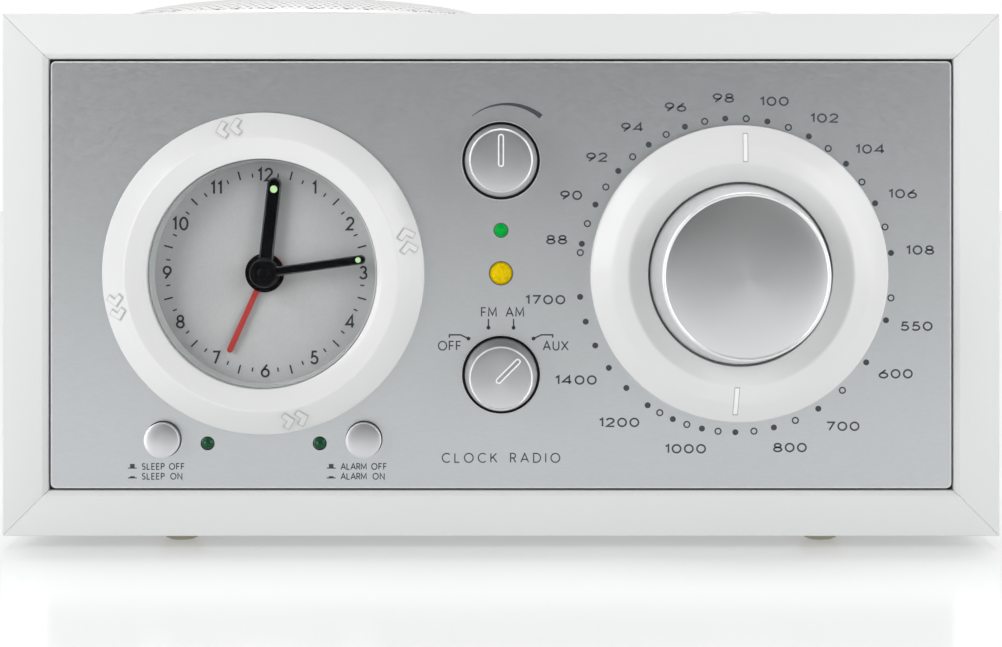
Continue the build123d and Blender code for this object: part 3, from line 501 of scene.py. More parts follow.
def ribbon(bm, path, width, low, high, closed=False, place=on_front):
    """Solid stroke of a width in mm along a path, between two heights. Width may be a list."""
    count = len(path)
    sharpest, longest = 0.3, 2.5  # limits on how far a mitred corner reaches out
    rows = []
    for i in range(count):
        here = Vector(path[i])
        back = here - Vector(path[i - 1]) if closed or i else None
        ahead = Vector(path[(i + 1) % count]) - here if closed or i < count - 1 else None
        if back is None or back.length < TINY:
            back = ahead
        if ahead is None or ahead.length < TINY:
            ahead = back
        back, ahead = back.normalized(), ahead.normalized()
        along = (back + ahead).normalized() if (back + ahead).length > TINY else ahead
        side = Vector((-along.y, along.x))
        half = (width[i] if isinstance(width, list) else width) / 2
        stretch = min(1 / max(side.dot(Vector((-ahead.y, ahead.x))), sharpest), longest)
        left, right = here + side * half * stretch, here - side * half * stretch
        rows.append([bm.verts.new(place(edge.x, edge.y, height)) for edge, height in (
            (left, low), (right, low), (right, high), (left, high))])
    for i in range(count if closed else count - 1):
        band(bm, rows[i], rows[(i + 1) % count])
    if not closed:
        bm.faces.new(rows[0])
        bm.faces.new(rows[-1])


def disc(bm, x, z, radius, low, high):
    """Round spot standing on the front."""
    prism(bm, circle(x, z, radius, 32), low, high)


def hoop(bm, x, z, radius, width, low, high, sides=32):
    """Open ring standing on the front."""
    ribbon(bm, circle(x, z, radius, sides), width, low, high, closed=True)


# ---------------- plain stroke lettering
def bow(x, y, across, up, start, end, steps=16):
    """Points along an elliptical arc; angles in degrees, anticlockwise from the right."""
    return [(x + across * cos(radians(start + (end - start) * i / steps)),
             y + up * sin(radians(start + (end - start) * i / steps))) for i in range(steps + 1)]


P_BOWL = [(0, 0), (0, 1)] + bow(0.3, 0.74, 0.25, 0.26, 90, -90) + [(0, 0.48)]

# Each letter is a width and its strokes, drawn in a box one unit high
GLYPHS = {
    "0": (0.62, [bow(0.31, 0.5, 0.31, 0.5, 90, 450, 32)]),
    "1": (0.21, [[(0, 0.8), (0.21, 1), (0.21, 0)]]),
    "2": (0.56, [bow(0.28, 0.72, 0.27, 0.28, 172, -38) + [(0, 0), (0.57, 0)]]),
    "3": (0.54, [bow(0.26, 0.755, 0.23, 0.245, 160, -90),
                 bow(0.26, 0.255, 0.28, 0.255, 90, -160)]),
    "4": (0.66, [[(0.5, 0), (0.5, 1), (0, 0.27), (0.66, 0.27)]]),
    "5": (0.54, [[(0.5, 1), (0.14, 1)] + bow(0.26, 0.31, 0.28, 0.31, 128, -155)]),
    "6": (0.60, [[(0.46, 1), (0.05, 0.47)], bow(0.3, 0.31, 0.3, 0.31, 0, 360, 28)]),
    "7": (0.54, [[(0, 1), (0.54, 1), (0.17, 0)]]),
    "8": (0.58, [bow(0.29, 0.76, 0.235, 0.24, 0, 360, 28),
                 bow(0.29, 0.26, 0.29, 0.26, 0, 360, 28)]),
    "9": (0.60, [[(0.14, 0), (0.55, 0.53)], bow(0.3, 0.69, 0.3, 0.31, 0, 360, 28)]),
    "A": (0.86, [[(0, 0), (0.43, 1), (0.86, 0)], [(0.15, 0.33), (0.71, 0.33)]]),
    "C": (0.84, [bow(0.5, 0.5, 0.5, 0.5, 48, 312, 24)]),
    "D": (0.78, [[(0, 0), (0, 1)] + bow(0.28, 0.5, 0.5, 0.5, 90, -90) + [(0, 0)]]),
    "E": (0.52, [[(0.52, 1), (0, 1), (0, 0), (0.52, 0)], [(0, 0.52), (0.47, 0.52)]]),
    "F": (0.52, [[(0.52, 1), (0, 1), (0, 0)], [(0, 0.5), (0.47, 0.5)]]),
    "I": (0.02, [[(0, 0), (0, 1)]]),
    "K": (0.66, [[(0, 0), (0, 1)], [(0.62, 1), (0.02, 0.42)], [(0.22, 0.6), (0.66, 0)]]),
    "L": (0.5, [[(0, 1), (0, 0), (0.5, 0)]]),
    "M": (0.92, [[(0, 0), (0.04, 1), (0.46, 0.18), (0.88, 1), (0.92, 0)]]),
    "N": (0.74, [[(0, 0), (0, 1), (0.74, 0), (0.74, 1)]]),
    "O": (0.98, [bow(0.49, 0.5, 0.49, 0.5, 90, 450, 32)]),
    "P": (0.55, [P_BOWL]),
    "R": (0.58, [P_BOWL, [(0.3, 0.48), (0.58, 0)]]),
    "S": (0.56, [bow(0.29, 0.755, 0.25, 0.245, 35, 270)
                 + bow(0.28, 0.255, 0.28, 0.255, 90, -145)]),
    "U": (0.68, [[(0, 1)] + bow(0.34, 0.34, 0.34, 0.34, 180, 360) + [(0.68, 1)]]),
    "X": (0.78, [[(0, 0), (0.78, 1)], [(0, 1), (0.78, 0)]]),
    " ": (0.4, []),
}
INK = 0.04  # height of the printing on the panel, in mm


def text_width(text, size, stretch, gap):
    """Width in mm of a line of lettering."""
    return sum(GLYPHS[c][0] * size * stretch for c in text) + gap * (len(text) - 1)


def write(bm, text, x, z, size, stroke, stretch, gap, low=0.0, high=INK):
    """Lettering centred on a point; sizes in mm."""
    cursor = x - text_width(text, size, stretch, gap) / 2
    for character in text:
        width, strokes = GLYPHS[character]
        for line in strokes:
            path = [(cursor + px * size * stretch, z - size / 2 + py * size) for px, py in line]
            joined = hypot(path[0][0] - path[-1][0], path[0][1] - path[-1][1]) < TINY
            if joined:
                path.pop()
            ribbon(bm, path, stroke, low, high, closed=joined)
        cursor += width * size * stretch + gap


# ---------------- cabinet
def cabinet():
    """Four mitred panels with softened edges, so that each mitre shows as a fine line."""
    low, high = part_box("cabinet_left")
    left, right = low.x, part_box("cabinet_right")[1].x
    bottom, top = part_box("cabinet_bottom")[0].z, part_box("cabinet_top")[1].z
    front, rear = low.y, high.y
    wall = high.x - low.x
    chamfer, softening = 0.0011, 0.00022
    section = [(0, front), (wall - chamfer, front), (wall, front + chamfer), (wall, rear),
               (0, rear)]
    holes = (("speaker_cone", 0.0395), ("snooze_button", 0.007))
    panels = {
        "cabinet_left": ((left, bottom), (left, top)), "cabinet_top": ((left, top), (right, top)),
        "cabinet_right": ((right, top), (right, bottom)),
        "cabinet_bottom": ((right, bottom), (left, bottom)),
    }
    for name, ends in panels.items():
        bm = bmesh.new()
        rows = []
        for x, z in ends:
            step_x, step_z = (1 if x == left else -1), (1 if z == bottom else -1)
            rows.append([bm.verts.new((x + step_x * depth, y, z + step_z * depth))
                         for depth, y in section])
        band(bm, *rows)
        bm.faces.new(rows[0])
        bm.faces.new(rows[1])
        bmesh.ops.recalc_face_normals(bm, faces=bm.faces)
        bmesh.ops.bevel(bm, geom=bm.edges[:], offset=softening, segments=3, profile=0.5,
                        affect="EDGES")
        piece = mesh_object(f"{name}_panel", bm, white_lacquer, "cabinet", 40)
        if name == "cabinet_top":
            for node, radius in holes:
                cut_hole(piece, plan_centre(node), radius, wall, top)
        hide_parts(name)


def cut_hole(piece, centre, radius, depth, top):
    """Round hole down through a panel, with its result applied to the mesh."""
    bm = bmesh.new()
    bmesh.ops.create_cone(bm, cap_ends=True, segments=96, radius1=radius, radius2=radius,
                          depth=depth * 2, matrix=Matrix.Translation((*centre, top - depth / 2)))
    cutter = add_object("cutter", bm)
    hole = piece.modifiers.new("hole", "BOOLEAN")
    hole.object = cutter
    hole.operation = "DIFFERENCE"
    hole.solver = "EXACT"
    bpy.context.view_layer.update()
    graph = bpy.context.evaluated_depsgraph_get()
    cut = bpy.data.meshes.new_from_object(piece.evaluated_get(graph))
    piece.modifiers.remove(hole)
    piece.data = cut
    bpy.data.objects.remove(cutter)


# ---------------- speaker
def grille():
    """Domed steel grille with a close hexagonal pattern of round holes and a plain rim."""
    low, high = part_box("speaker_grille")
    cx, cy = plan_centre("speaker_grille")
    outer = (high.x - low.x) / 2 / MM
    base, rise = low.z / MM, (high.z - low.z) / MM
    skirt, thick, rim = 0.9, 0.6, 1.2
    pitch, hole = 1.75, 0.52
    row_pitch = pitch * 0.866
    sides = 12

    def dome(x, y, drop=0.0):
        """Height of the domed sheet over a point, lowered by a thickness."""
        share = min(1.0, hypot(x, y) / outer)
        return base + skirt + (rise - skirt) * (1 - share ** 2.2) ** 0.62 - drop

    def loop(points, drop):
        """Points of the sheet over a loop round a hole."""
        return [bm.verts.new((cx + x * MM, cy + y * MM, dome(x, y, drop) * MM)) for x, y in points]

    bm = bmesh.new()
    field = outer - rim + 0.3
    rows = int(ceil(field / row_pitch)) + 1
    for layer in (0, 1):
        drop = thick * layer
        for row in range(-rows, rows + 1):
            for column in range(-rows - 1, rows + 2):
                x = (column + 0.5 * (row % 2)) * pitch
                y = row * row_pitch
                if hypot(x, y) > field:
                    continue
                ring, cell = [], []
                for k in range(sides):
                    a = FULL_TURN * k / sides + pi / 6
                    reach = pitch / 2 if k % 2 else pitch / 2 / cos(pi / 6)
                    ring.append((x + hole * cos(a), y + hole * sin(a)))
                    cell.append((x + reach * cos(a), y + reach * sin(a)))
                inner = loop(ring, drop)
                band(bm, inner, loop(cell, drop))
                if layer == 0:
                    band(bm, inner, loop(ring, thick))
    mesh = mesh_object("speaker_grille_mesh", bm, white_paint, "cabinet", 50)
    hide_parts("speaker_grille")

    bm = bmesh.new()
    steps = 20
    profile = []
    for step in range(steps + 1):
        radius = (outer - rim) + rim * sin(pi / 2 * step / steps)
        profile.append((radius, dome(radius, 0) + 0.02))
    profile += [(outer, base), (outer - thick, base)]
    inside = [(max(outer - rim - 0.4, r - thick), z - thick) for r, z in profile[:steps + 1]]
    spun(bm, (cx, cy), profile + inside[::-1], 192, True)
    mesh_object("speaker_grille_rim", bm, white_paint, "cabinet", 50)


def surround():
    """Rubber roll round the speaker cone, in sectors that reach from basket to moving cone."""
    cx, cy = plan_centre("speaker_surround")
    inner, outer = 32.2, 38.0
    roll, over, under = 35.3, 103.1, 102.95
    profile = [(inner, over)] + bow(roll, over, 1.9, 1.9, 180, 0)
    profile += [(outer, over), (outer, 102.65), (36.7, 102.65)]
    profile += bow(roll, under, 1.4, 1.4, 0, 180, 12) + [(33.9, 102.7), (inner, 102.7)]
    sectors = 16
    for sector in range(sectors):
        bm = bmesh.new()
        spun(bm, (cx, cy), profile, 8, True, FULL_TURN * sector / sectors, FULL_TURN / sectors)
        piece = mesh_object(f"speaker_surround_{sector + 1:02d}", bm, soft_black, None,
                            50)
        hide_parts("speaker_surround")
        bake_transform(piece)


def snooze():
    """White domed snooze button on the cabinet top."""
    bm = bmesh.new()
    profile = rounded([(0, 102.4), (8.2, 102.4), (8.2, 103.4), (6.6, 103.4), (6.6, 117.1, 0.8),
                       (4.6, 118.15, 2.0), (2.0, 118.38, 3.0), (0, 118.4)], 8)
    spun(bm, plan_centre("snooze_button"), profile, 96)
    piece = mesh_object("snooze_button_cap", bm, white_moulding, "snooze_button",
                        30)
    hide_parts("snooze_button")


# ---------------- knobs, rings and dials
def turned_piece(name, node, place, corners, material, body, segments):
    """Piece revolved from rounded (radius, height, corner radius) points, for a CAD node."""
    bm = bmesh.new()
    lathe(bm, place, rounded(corners, 7, closed=True), segments)
    piece = mesh_object(name, bm, material, body, 30)
    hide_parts(node)
    return piece


def height_at(profile, radius):
    """Height of a turned profile at a radius; the profile starts at its rim and runs inwards."""
    for (r0, h0), (r1, h1) in zip(profile, profile[1:]):
        if r1 <= radius <= r0 and r0 > r1:
            return h0 + (h1 - h0) * (r0 - radius) / (r0 - r1)
    return profile[0][1]


def alarm_ring():
    """White ring that is turned to set the alarm, with raised double chevrons outlined in grey
    painted shade.
    """
    corners = [(34.4, 0.3, 0.2), (34.4, 1.35, 0.5), (29.1, 5.3, 0.8), (25.6, 4.3, 0.3),
               (24.5, 3.9, 0.3), (24.5, -6.3), (24.9, -6.3), (24.9, -9.0), (27.5, -9.0),
               (27.5, 0.3)]
    turned_piece("alarm_ring_shell", "alarm_ring", CLOCK, corners, white_moulding, "alarm_ring",
                 192)
    slope = rounded(corners, 7, closed=True)
    middle = 31.8  # radius that the chevrons lie on
    bm, line = bmesh.new(), bmesh.new()
    for turn in range(4):
        group = 77.3 + 90 * turn

        def on_ring(x, y, h):
            """Point on the ring's slope: x clockwise along it, y outwards."""
            x, z = polar(CLOCK, middle + y, group + degrees(x / middle))
            return on_front(x, z, height_at(slope, middle + y) + h)

        for step in (-1.5, 1.5):
            path = [(step + 0.65, -1.45), (step - 0.65, 0), (step + 0.65, 1.45)]
            around_path = [(step + 0.78, -1.6), (step - 0.65, 0), (step + 0.78, 1.6)]
            ribbon(bm, path, 1.0, -0.6, 0.42, place=on_ring)
            # Grey outline round each chevron: painted shade along its sides.
            ribbon(line, around_path, 1.36, -0.6, 0.3, place=on_ring)
    mesh_object("alarm_ring_chevron_shade", line, chevron_painted_shade, "alarm_ring", 40)
    chevrons = mesh_object("alarm_ring_chevrons", bm, white_moulding, "alarm_ring",
                           40)
    soften(chevrons, 0.00008)


def tuning_dial():
    """White tuning dial: a broad sloping rim round a shallow well, with two pointer grooves whose
    grey outlines are painted shade and whose whiter fill is painted light.
    """
    corners = [(31.7, 0.3, 0.2), (31.7, 2.9, 0.8), (27.5, 5.3, 8.0), (23.8, 6.75, 1.1),
               (19.6, 4.9, 0.25), (19.6, 2.0), (6.9, 2.0), (6.9, 0.3)]
    turned_piece("tuning_dial_rim", "tuning_dial", TUNING, corners, white_moulding, "tuning_dial",
                 192)
    slope = rounded(corners, 7, closed=True)
    near, far, sunk = 23.9, 29.9, -0.5
    bm, fill = bmesh.new(), bmesh.new()
    for pointer in (2.1, 182.1):

        def on_dial(x, y, h):
            """Point on the dial's slope: y outwards from the dial's centre, x across."""
            return on_front(*about(TUNING, pointer, x, y), height_at(slope, hypot(x, y)) + h)

        # Grey lines along the sides and across the ends of each groove: painted shade of its walls.
        for side in (-0.5, 0.5):
            ribbon(bm, [(side, near + 6.0 * k / 16) for k in range(17)], 0.16, sunk, 0.03,
                   place=on_dial)
        for end in (near, far):
            ribbon(bm, [(-0.58, end), (0.58, end)], 0.26, sunk, 0.03, place=on_dial)
        # Fill whiter than the dial: painted light on the groove's floor.
        ribbon(fill, [(0, near + 0.1 + 5.8 * k / 16) for k in range(17)], 0.86, sunk, 0.02,
               place=on_dial)
    mesh_object("tuning_dial_pointer_shade", bm, pointer_painted_shade, "tuning_dial", 40)
    mesh_object("tuning_dial_pointer_fill", fill, slot_painted_light, "tuning_dial", 40)


def crown(share):
    """Fall of a knob's face from its middle (0) to its edge (1): domed, rolled off at the edge."""
    return 0.85 * share ** 2 + 0.15 * share ** 8


def rim_and_face(name, place, body, face_metal, rim, face):
    """Polished edge ring of a knob and the domed face in it, given as radius, height and drop."""
    bm = bmesh.new()
    lathe(bm, place, rounded(rim, 7), 192)
    mesh_object(f"{name}_rim", bm, polished, body, 30)
    radius, height, drop = face
    under = height - drop - 0.3
    bm = bmesh.new()
    dome = [(radius * k / 36, height - drop * crown(k / 36)) for k in range(37)]
    lathe(bm, place, dome + [(radius, under), (0, under)], 192, closed=False)
    mesh_object(f"{name}_face", bm, face_metal, body, 30)


def tuning_knob():
    """Satin silver knob: tapered side, thin polished edge and a gently domed face."""
    turned_piece(
        "tuning_knob_body", "tuning_knob", TUNING,
        [(19.2, 2.6, 0.1), (19.2, 3.6, 0.3), (17.5, 17.4, 0.2), (17.3, 17.5), (3.0, 17.5),
         (3.0, 2.6), (6.0, 2.6), (6.0, 16.2), (15.6, 16.2), (17.2, 2.6)],
        silver_tuning_side, "tuning_knob", 192,
    )
    rim_and_face("tuning_knob", TUNING, "tuning_knob", silver_tuning,
                 [(17.5, 17.0), (17.5, 17.9, 0.4), (17.1, 18.15, 0.3), (16.75, 17.9),
                  (16.75, 17.2)], (16.85, 18.97, 1.15))


def small_knob(name, place, clockwise, face_metal, body):
    """Small silver knob with a thin polished edge and an outlined slot on its face; the slot's
    white outline is painted highlight and its grey floor painted shade.
    """
    turned_piece(
        f"{name}_body", name, place,
        [(0, -1.0), (7.75, -1.0, 0.1), (7.75, 0.6, 0.3), (6.75, 9.0, 0.2), (6.5, 9.05), (0, 8.8)],
        # darker side silver: painted shade on the knob's side
        silver_small_side_shaded, body, 128,
    )
    face = radius, height, drop = (6.42, 9.42, 0.26)
    rim_and_face(name, place, body, face_metal,
                 [(6.75, 8.8), (6.72, 9.2, 0.15), (6.55, 9.45, 0.15), (6.38, 9.3, 0.06), (6.3, 9.0),
                  (6.3, 8.8)], face)

    def on_face(x, y, h):
        """Point on the domed face: y along the slot, x across."""
        return on_front(*about(place, clockwise, x, y),
                        height - drop * crown(hypot(x, y) / radius) + h)

    half, far, near = 0.49, 4.99, -0.71  # half the slot's width, and the centres of its round ends
    outline = bow(0, far, half, half, 0, 180, 10)
    outline += [(-half, far - 0.475 * k) for k in range(1, 12)]
    outline += bow(0, near, half, half, 180, 360, 10)
    outline += [(half, near + 0.475 * k) for k in range(1, 12)]
    # White outline round the slot: painted highlight on its edges.
    bm = bmesh.new()
    ribbon(bm, outline, 0.28, -0.2, 0.05, closed=True, place=on_face)
    mesh_object(f"{name}_slot", bm, slot_painted_light, body, 30)
    # Grey floor of the slot: painted shade inside it.
    bm = bmesh.new()
    ribbon(bm, [(0, -0.9 + 0.37 * k) for k in range(17)], 0.74, -0.2, 0.02, place=on_face)
    mesh_object(f"{name}_slot_floor", bm, slot_painted_shade, body, 30)


def push_button(node, place, material):
    """Domed satin button with a thin polished edge."""
    turned_piece(
        f"{node}_cap", node, place,
        [(0, -6.0), (3.75, -6.0, 0.05), (3.75, 2.3, 0.3), (3.5, 2.5), (0, 2.5)],
        material, node, 96,
    )
    rim_and_face(node, place, node, material,
                 [(3.755, 2.0), (3.755, 2.75, 0.2), (3.66, 2.92, 0.1), (3.56, 2.85), (3.56, 2.0)],
                 (3.6, 3.28, 0.36))


# ---------------- clock face
def clock_face():
    """Hour numerals, half-hour and quarter-hour ticks on the satin dial."""
    dial, ink = -3.5, -3.44
    bm = bmesh.new()
    for hour in range(1, 13):
        x, z = polar(CLOCK, 21.1, 30 * hour)
        write(bm, str(hour), x, z, 2.55, 0.43, 1.0, 0.95, dial, ink)
    for hour in range(12):
        for offset, outer, width in ((15, 22.5, 0.34), (-7.5, 21.5, 0.3), (7.5, 21.5, 0.3)):
            angle = 30 * hour + offset
            ribbon(bm, [polar(CLOCK, 20.6, angle), polar(CLOCK, outer, angle)], width, dial, ink)
    mesh_object("dial_numerals", bm, dial_ink, "cabinet", 30)


def hand(body, angle, length, width, back, front, hub, bore, lume_radius, lume_at):
    """Raised black hand: blade with a glossy border, ringed hub and luminous dot; border and hub
    rings are a lighter black, partly painted highlight.
    """
    half = width / 2
    tip = length - half
    outline = [(-half, 0), (-half, tip)]
    for step in range(1, 16):
        a = pi - pi * step / 16
        outline.append((half * cos(a), tip + half * sin(a)))
    outline += [(half, tip), (half, 0)]

    def placed(x, y, h):
        return on_front(*about(CLOCK, angle, x, y), h)

    def finish(part, bm, material):
        return mesh_object(f"{body}_{part}", bm, material, body, 30)

    bm = bmesh.new()
    prism(bm, outline, back, front - 0.2, placed)
    soften(finish("top", bm, black_satin), 0.00005)
    bm = bmesh.new()
    # Border lighter than the blade: painted highlight along its edge, with real gloss.
    border = 0.34 if width > 2 else 0.26
    inset = (half - border / 2) / half
    edge = [(x * inset, min(y, tip) + max(0, y - tip) * inset) for x, y in outline]
    ribbon(bm, edge, border, front - 0.25, front, place=placed)
    soften(finish("border", bm, black_gloss_and_highlight), 0.00005)
    bm = bmesh.new()
    # Hub rings in the lighter black: painted highlights on the hub's rings.
    for radius in (hub - 0.25, hub - 0.62):
        hoop(bm, CLOCK[0] / MM, CLOCK[1] / MM, radius, 0.14, front, front + 0.3, 96)
    finish("rings", bm, black_gloss_and_highlight)
    bm = bmesh.new()
    corners = [(bore, front - 0.6), (hub, front - 0.6), (hub, front + 0.05, 0.2),
               (hub - 0.5, front + 0.22, 0.15), (bore, front + 0.22)]
    lathe(bm, CLOCK, rounded(corners, 5, closed=bore > 0), 96, closed=bore > 0)
    finish("hub", bm, black_satin)
    bm = bmesh.new()
    prism(bm, circle(0, lume_at, lume_radius, 24), front - 0.22, front - 0.02, placed)
    finish("lume", bm, lume)


def clock_hands():
    """The hub of the red alarm hand, the hour and minute hands, and the cap over them."""
    bm = bmesh.new()
    lathe(bm, CLOCK, rounded([(1.25, -2.2), (4.2, -2.2, 0.1), (4.2, -2.0, 0.15), (3.9, -1.95, 0.1),
                              (1.25, -1.95)], 5, closed=True), 96)
    mesh_object("alarm_hand_hub", bm, black_satin, "alarm_hand", 30)
    hand("hour_hand", 6.5, 20.6, 3.1, -1.7, -1.05, 3.35, 0.65, 0.78, 18.1)
    hand("minute_hand", 82.0, 22.0, 2.0, -0.3, 0.28, 2.5, 0, 0.58, 20.4)
    bm = bmesh.new()
    cap = rounded([(0, 0.2), (1.5, 0.2), (1.5, 0.95, 0.3), (0.9, 1.3, 0.5), (0, 1.35)], 6)
    lathe(bm, CLOCK, cap, 64, closed=False)
    mesh_object("minute_hand_cap", bm, black_satin, "minute_hand", 30)


def lens():
    """Clear domed pane over the clock, which casts no shadow, and its pale seating ring."""
    pane = turned_piece(
        "clock_lens_pane", "clock_lens", CLOCK,
        [(24.05, 2.2), (24.05, 3.0, 0.3), (12, 3.35, 40), (0, 3.45), (0, 2.75), (12, 2.65, 40)],
        lens_clear, "cabinet", 192,
    )
    pane.visible_shadow = False
    bm = bmesh.new()
    lathe(bm, CLOCK, [(24.4, -3.4), (24.4, 2.0), (24.15, 2.15), (24.0, 2.0), (23.7, -3.4)], 192)
    mesh_object("clock_lens_seat", bm, lens_seat, "cabinet", 40)


# ---------------- printing on the panel
SCALE = (TUNING[0] - 0.58 * MM, TUNING[1] - 0.42 * MM)
DOT_RING, NUMBER_RING = 33.6, 36.8
FM_CURVE = (-3.8, 7.614, 0.055, 0.004)


def fm_angle(megahertz):
    """Clock angle of an FM frequency on the scale."""
    return sum(term * (megahertz - 98) ** power for power, term in enumerate(FM_CURVE))


def am_angle(kilohertz):
    """Clock angle of an AM frequency: nearly even at the band's top, spread out at its bottom."""
    megahertz = kilohertz / 1000
    return 112.3 + 89.2 * megahertz - 9.1 / megahertz ** 3


def scale_mark(bm, angle, solid, text=""):
    """Dot or ring of the tuning scale at a clock angle, with its number, if any."""
    x, z = polar(SCALE, DOT_RING, angle)
    if solid:
        disc(bm, x, z, 0.64, 0, INK)
    else:
        hoop(bm, x, z, 0.62, 0.3, 0, INK)
    if text:
        scale_number(bm, angle, text)


def scale_number(bm, angle, text):
    """Upright scale number outside the dots, leaning away from the dial on its left and right."""
    size, stroke, stretch, gap = 1.68, 0.36, 1.69, 0.86
    a = radians(angle)
    half_width = (text_width(text, size, stretch, gap) + stroke) / 2
    half_height = (size + stroke) / 2
    lean = max(-1, min(1, (1.3 if cos(a) > 0 else 3) * sin(a)))
    x, z = polar(SCALE, NUMBER_RING, angle)
    write(bm, text, x + half_width * lean, z + 1.2 * half_height * cos(a), size, stroke, stretch,
          gap)


def tuning_scale():
    """Frequency dots, rings and numbers round the tuning dial."""
    bm = bmesh.new()
    for megahertz in range(88, 109):
        even = megahertz % 2 == 0
        scale_mark(bm, fm_angle(megahertz), even, str(megahertz) if even else "")
    for angle in (-81.7, 98.3):
        scale_mark(bm, angle, False)
    for kilohertz in (550, *range(600, 1701, 100)):
        numbered = kilohertz in (550, 600, 700, 800, 1000, 1200, 1400, 1700)
        scale_mark(bm, am_angle(kilohertz), True, str(kilohertz) if numbered else "")
    for kilohertz in range(650, 1151, 100):
        scale_mark(bm, am_angle(kilohertz), False)
    mesh_object("tuning_scale_print", bm, print_ink, "cabinet", 30)


def panel_printing():
    """Volume sweep, selector marks, function words and button legends."""
    bm = bmesh.new()
    centre = (VOLUME[0] + 1.1 * MM, VOLUME[1] + 0.37 * MM)
    first, last, steps = -38.7, 39.5, 32
    sweep = [polar(centre, 11.75, first + (last - first) * i / steps) for i in range(steps + 1)]
    ribbon(bm, sweep, [0.12 + 0.95 * (i / steps) ** 1.1 for i in range(steps + 1)], 0, INK)

    dot_ring, dot = 10.4, 0.42
    for angle in (-15, 15):
        x, z = polar(SELECTOR, dot_ring, angle)
        disc(bm, x, z, dot, 0, INK)
        ribbon(bm, [(x, z), (x, z + 1.9)], 0.3, 0, INK)
    for side in (-1, 1):
        x, z = polar(SELECTOR, dot_ring, side * 42)
        disc(bm, x, z, dot, 0, INK)
        near, far = x + side * 1.7, x + side * 4.1
        ribbon(bm, [(x, z), (near, z + 0.8), (far, z + 0.8), (far, z + 0.2)], 0.32, 0, INK)
    sx, sz = SELECTOR[0] / MM, SELECTOR[1] / MM
    for text, dx, dz in (("FM", -2.6, 13.4), ("AM", 2.95, 13.4), ("OFF", -11.0, 6.2),
                         ("AUX", 11.7, 6.2)):
        write(bm, text, sx + dx, sz + dz, 1.85, 0.28, 0.95, 0.6)
    write(bm, "CLOCK RADIO", sx, 19.3, 1.9, 0.26, 1.0, 1.1)

    size, stroke, stretch = 1.25, 0.22, 0.92
    for place, word, shift, gap in ((SLEEP, "SLEEP", 0, 0.42), (ALARM, "ALARM", 0.1, 0.28)):
        px, pz = place[0] / MM, place[1] / MM
        mark = px - 2.15 - shift - text_width(word, size, stretch, gap) / 2 - 2.1
        for line, state in enumerate(("OFF", "ON")):
            z = pz - 5.85 - 2.1 * line
            write(bm, word, px - 2.15 - shift, z, size, stroke, stretch, gap)
            write(bm, state, px + 2.9 + 3 * shift - 0.1 * line, z, size, stroke, stretch, 0.42)
            ribbon(bm, [(mark - 0.95, z - 0.35), (mark + 0.95, z - 0.35)], stroke, 0, INK)
            left, right, foot = mark - 0.5, mark + 0.5, z - 0.3
            head = foot + (0.32 if line else 0.85)
            prism(bm, [(left, foot), (right, foot), (right, head), (left, head)], 0, INK)
    mesh_object("panel_print", bm, print_ink, "cabinet", 30)


def panel_edges():
    """Bright line along the panel's edge and round its knob holes, a painted highlight on their
    bevels, and the dark joint round each lamp.
    """
    inset, bend, sunk = 0.2, 0.8, -0.1
    left, right = panel_low.x / MM + inset, panel_high.x / MM - inset
    low, high = panel_low.z / MM + inset, panel_high.z / MM - inset
    bm = bmesh.new()
    # Lighter metal line along the panel's edge and round the knob holes: painted highlight on their
    # bevels.
    border = [(left, low, bend), (right, low, bend), (right, high, bend), (left, high, bend)]
    ribbon(bm, rounded(border, 6, closed=True), 0.26, sunk, 0.02, closed=True)
    for place in (VOLUME, SELECTOR):
        hoop(bm, place[0] / MM, place[1] / MM, 8.45, 0.2, sunk, 0.02, 96)
    mesh_object("panel_edge_highlights", bm, polished, "cabinet", 30)
    bm = bmesh.new()
    for node, radius in (("power_led", 1.5), ("tuning_led", 2.5)):
        x, z = centre_of(node)
        hoop(bm, x / MM, z / MM, radius + 0.02, 0.18, sunk, 0.015, 48)
    mesh_object("lamp_joints", bm, slot_dark, "cabinet", 30)


cabinet()
grille()
surround()
alarm_ring()
tuning_dial()
tuning_knob()
small_knob("volume_knob", VOLUME, 0, silver_volume, "volume")
small_knob("selector_knob", SELECTOR, 45, silver_selector, "selector")
push_button("sleep_button", SLEEP, silver_sleep)
push_button("alarm_button", ALARM, silver_alarm)
snooze()
clock_face()
clock_hands()
lens()
tuning_scale()
panel_printing()
panel_edges()


# ---------------- camera, floor and light
EYE_DISTANCE = 0.510
EYE_HEIGHT = 0.0813
camera_data = bpy.data.cameras.new("camera")
camera_data.sensor_width = 36
camera_data.lens = 85.6
camera_data.shift_y = -0.155
camera_data.clip_start = 0.01
camera = add_object("camera", camera_data)
camera.location = (0, FACE_Y - EYE_DISTANCE, EYE_HEIGHT)
camera.rotation_euler = (pi / 2, 0, 0)
bpy.context.scene.camera = camera


def floor():
    """Pale glossy table top."""
    bm = bmesh.new()
    bmesh.ops.create_grid(bm, x_segments=1, y_segments=1, size=4.0)
    table = add_object("floor", bm)
    m = Nodes("floor")
    m.set(Base_Color=(0.64, 0.64, 0.645, 1), Roughness=0.16, Specular_IOR_Level=0.5,
          Emission_Color=(1, 1, 1, 1), Emission_Strength=0.25)
    table.data.materials.append(m.owner)


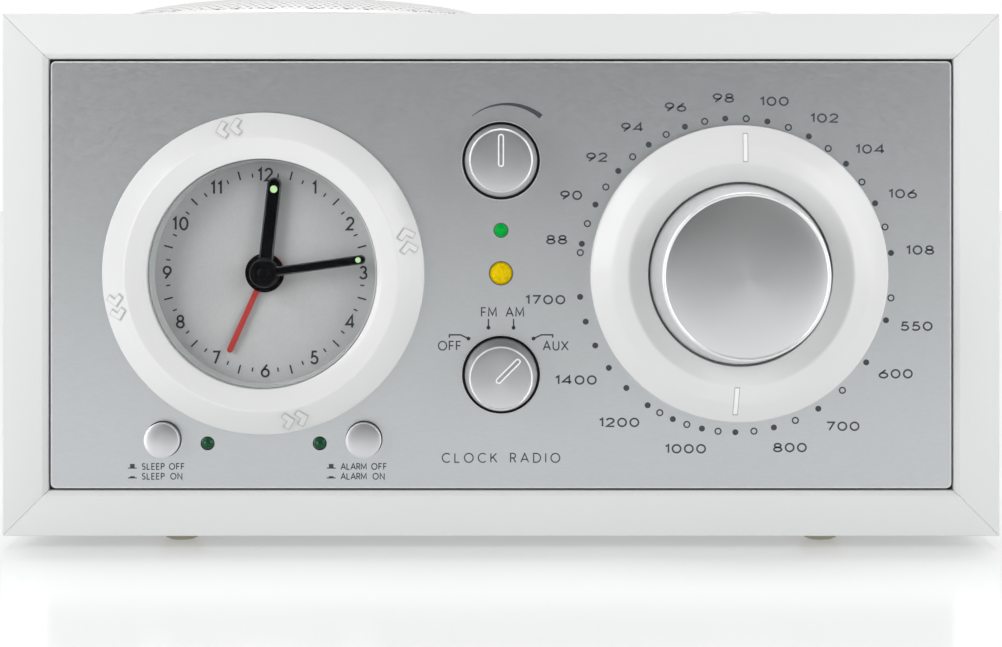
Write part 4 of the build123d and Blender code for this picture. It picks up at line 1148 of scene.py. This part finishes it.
def lamp(name, location, target, size, energy):
    """Rectangular soft light aimed at a point."""
    light = bpy.data.lights.new(name, "AREA")
    light.shape = "RECTANGLE"
    light.size, light.size_y = size
    light.energy = energy
    lamp_object = add_object(name, light)
    lamp_object.location = location
    aim = Vector(target) - Vector(location)
    lamp_object.rotation_euler = aim.to_track_quat("-Z", "Y").to_euler()


def overhead(strength, tilt, softness):
    """Very soft distant light from above and slightly behind; angles in degrees."""
    light = bpy.data.lights.new("overhead", "SUN")
    light.energy = strength
    light.angle = radians(softness)
    sun = add_object("overhead", light)
    sun.rotation_euler = (radians(-tilt), 0, 0)


# Strength of the surroundings, in front of the radio and behind it
STUDIO_FRONT = 0.13
STUDIO_BACK = 0.8


def sky():
    """White backdrop, with a dimmer studio in front of the radio to reflect."""
    w = Nodes("surroundings", "worlds", "Background")
    w.set(Color=(1, 1, 1, 1))
    place = w.add("ShaderNodeTexCoord")
    split = w.add("ShaderNodeSeparateXYZ")
    depth = w.add("ShaderNodeMapRange", From_Min=-0.6, From_Max=0.5, To_Min=STUDIO_FRONT,
                  To_Max=STUDIO_BACK)
    studio = w.add("ShaderNodeBackground")
    path = w.add("ShaderNodeLightPath")
    mix = w.add("ShaderNodeMixShader")
    w.join(place.outputs["Generated"], split.inputs["Vector"])
    w.join(split.outputs["Y"], depth.inputs["Value"])
    w.join(depth.outputs["Result"], studio.inputs["Strength"])
    w.join(path.outputs["Is Camera Ray"], mix.inputs["Fac"])
    w.join(studio.outputs["Background"], mix.inputs[1])
    w.join(w.shader.outputs["Background"], mix.inputs[2])
    w.join(mix.outputs["Shader"], w.tree.nodes["World Output"].inputs["Surface"])
    bpy.context.scene.world = w.owner


floor()
sky()
overhead(1.75, 16, 34)
lamp("left_light", (-0.8, -0.62, 0.42), (0, -0.04, 0.06), (0.6, 0.8), 7.1)
lamp("right_light", (0.8, -0.62, 0.35), (0, -0.04, 0.06), (0.6, 0.8), 5.3)
bpy.context.scene.view_settings.view_transform = "Standard"

bpy.context.view_layer.update()
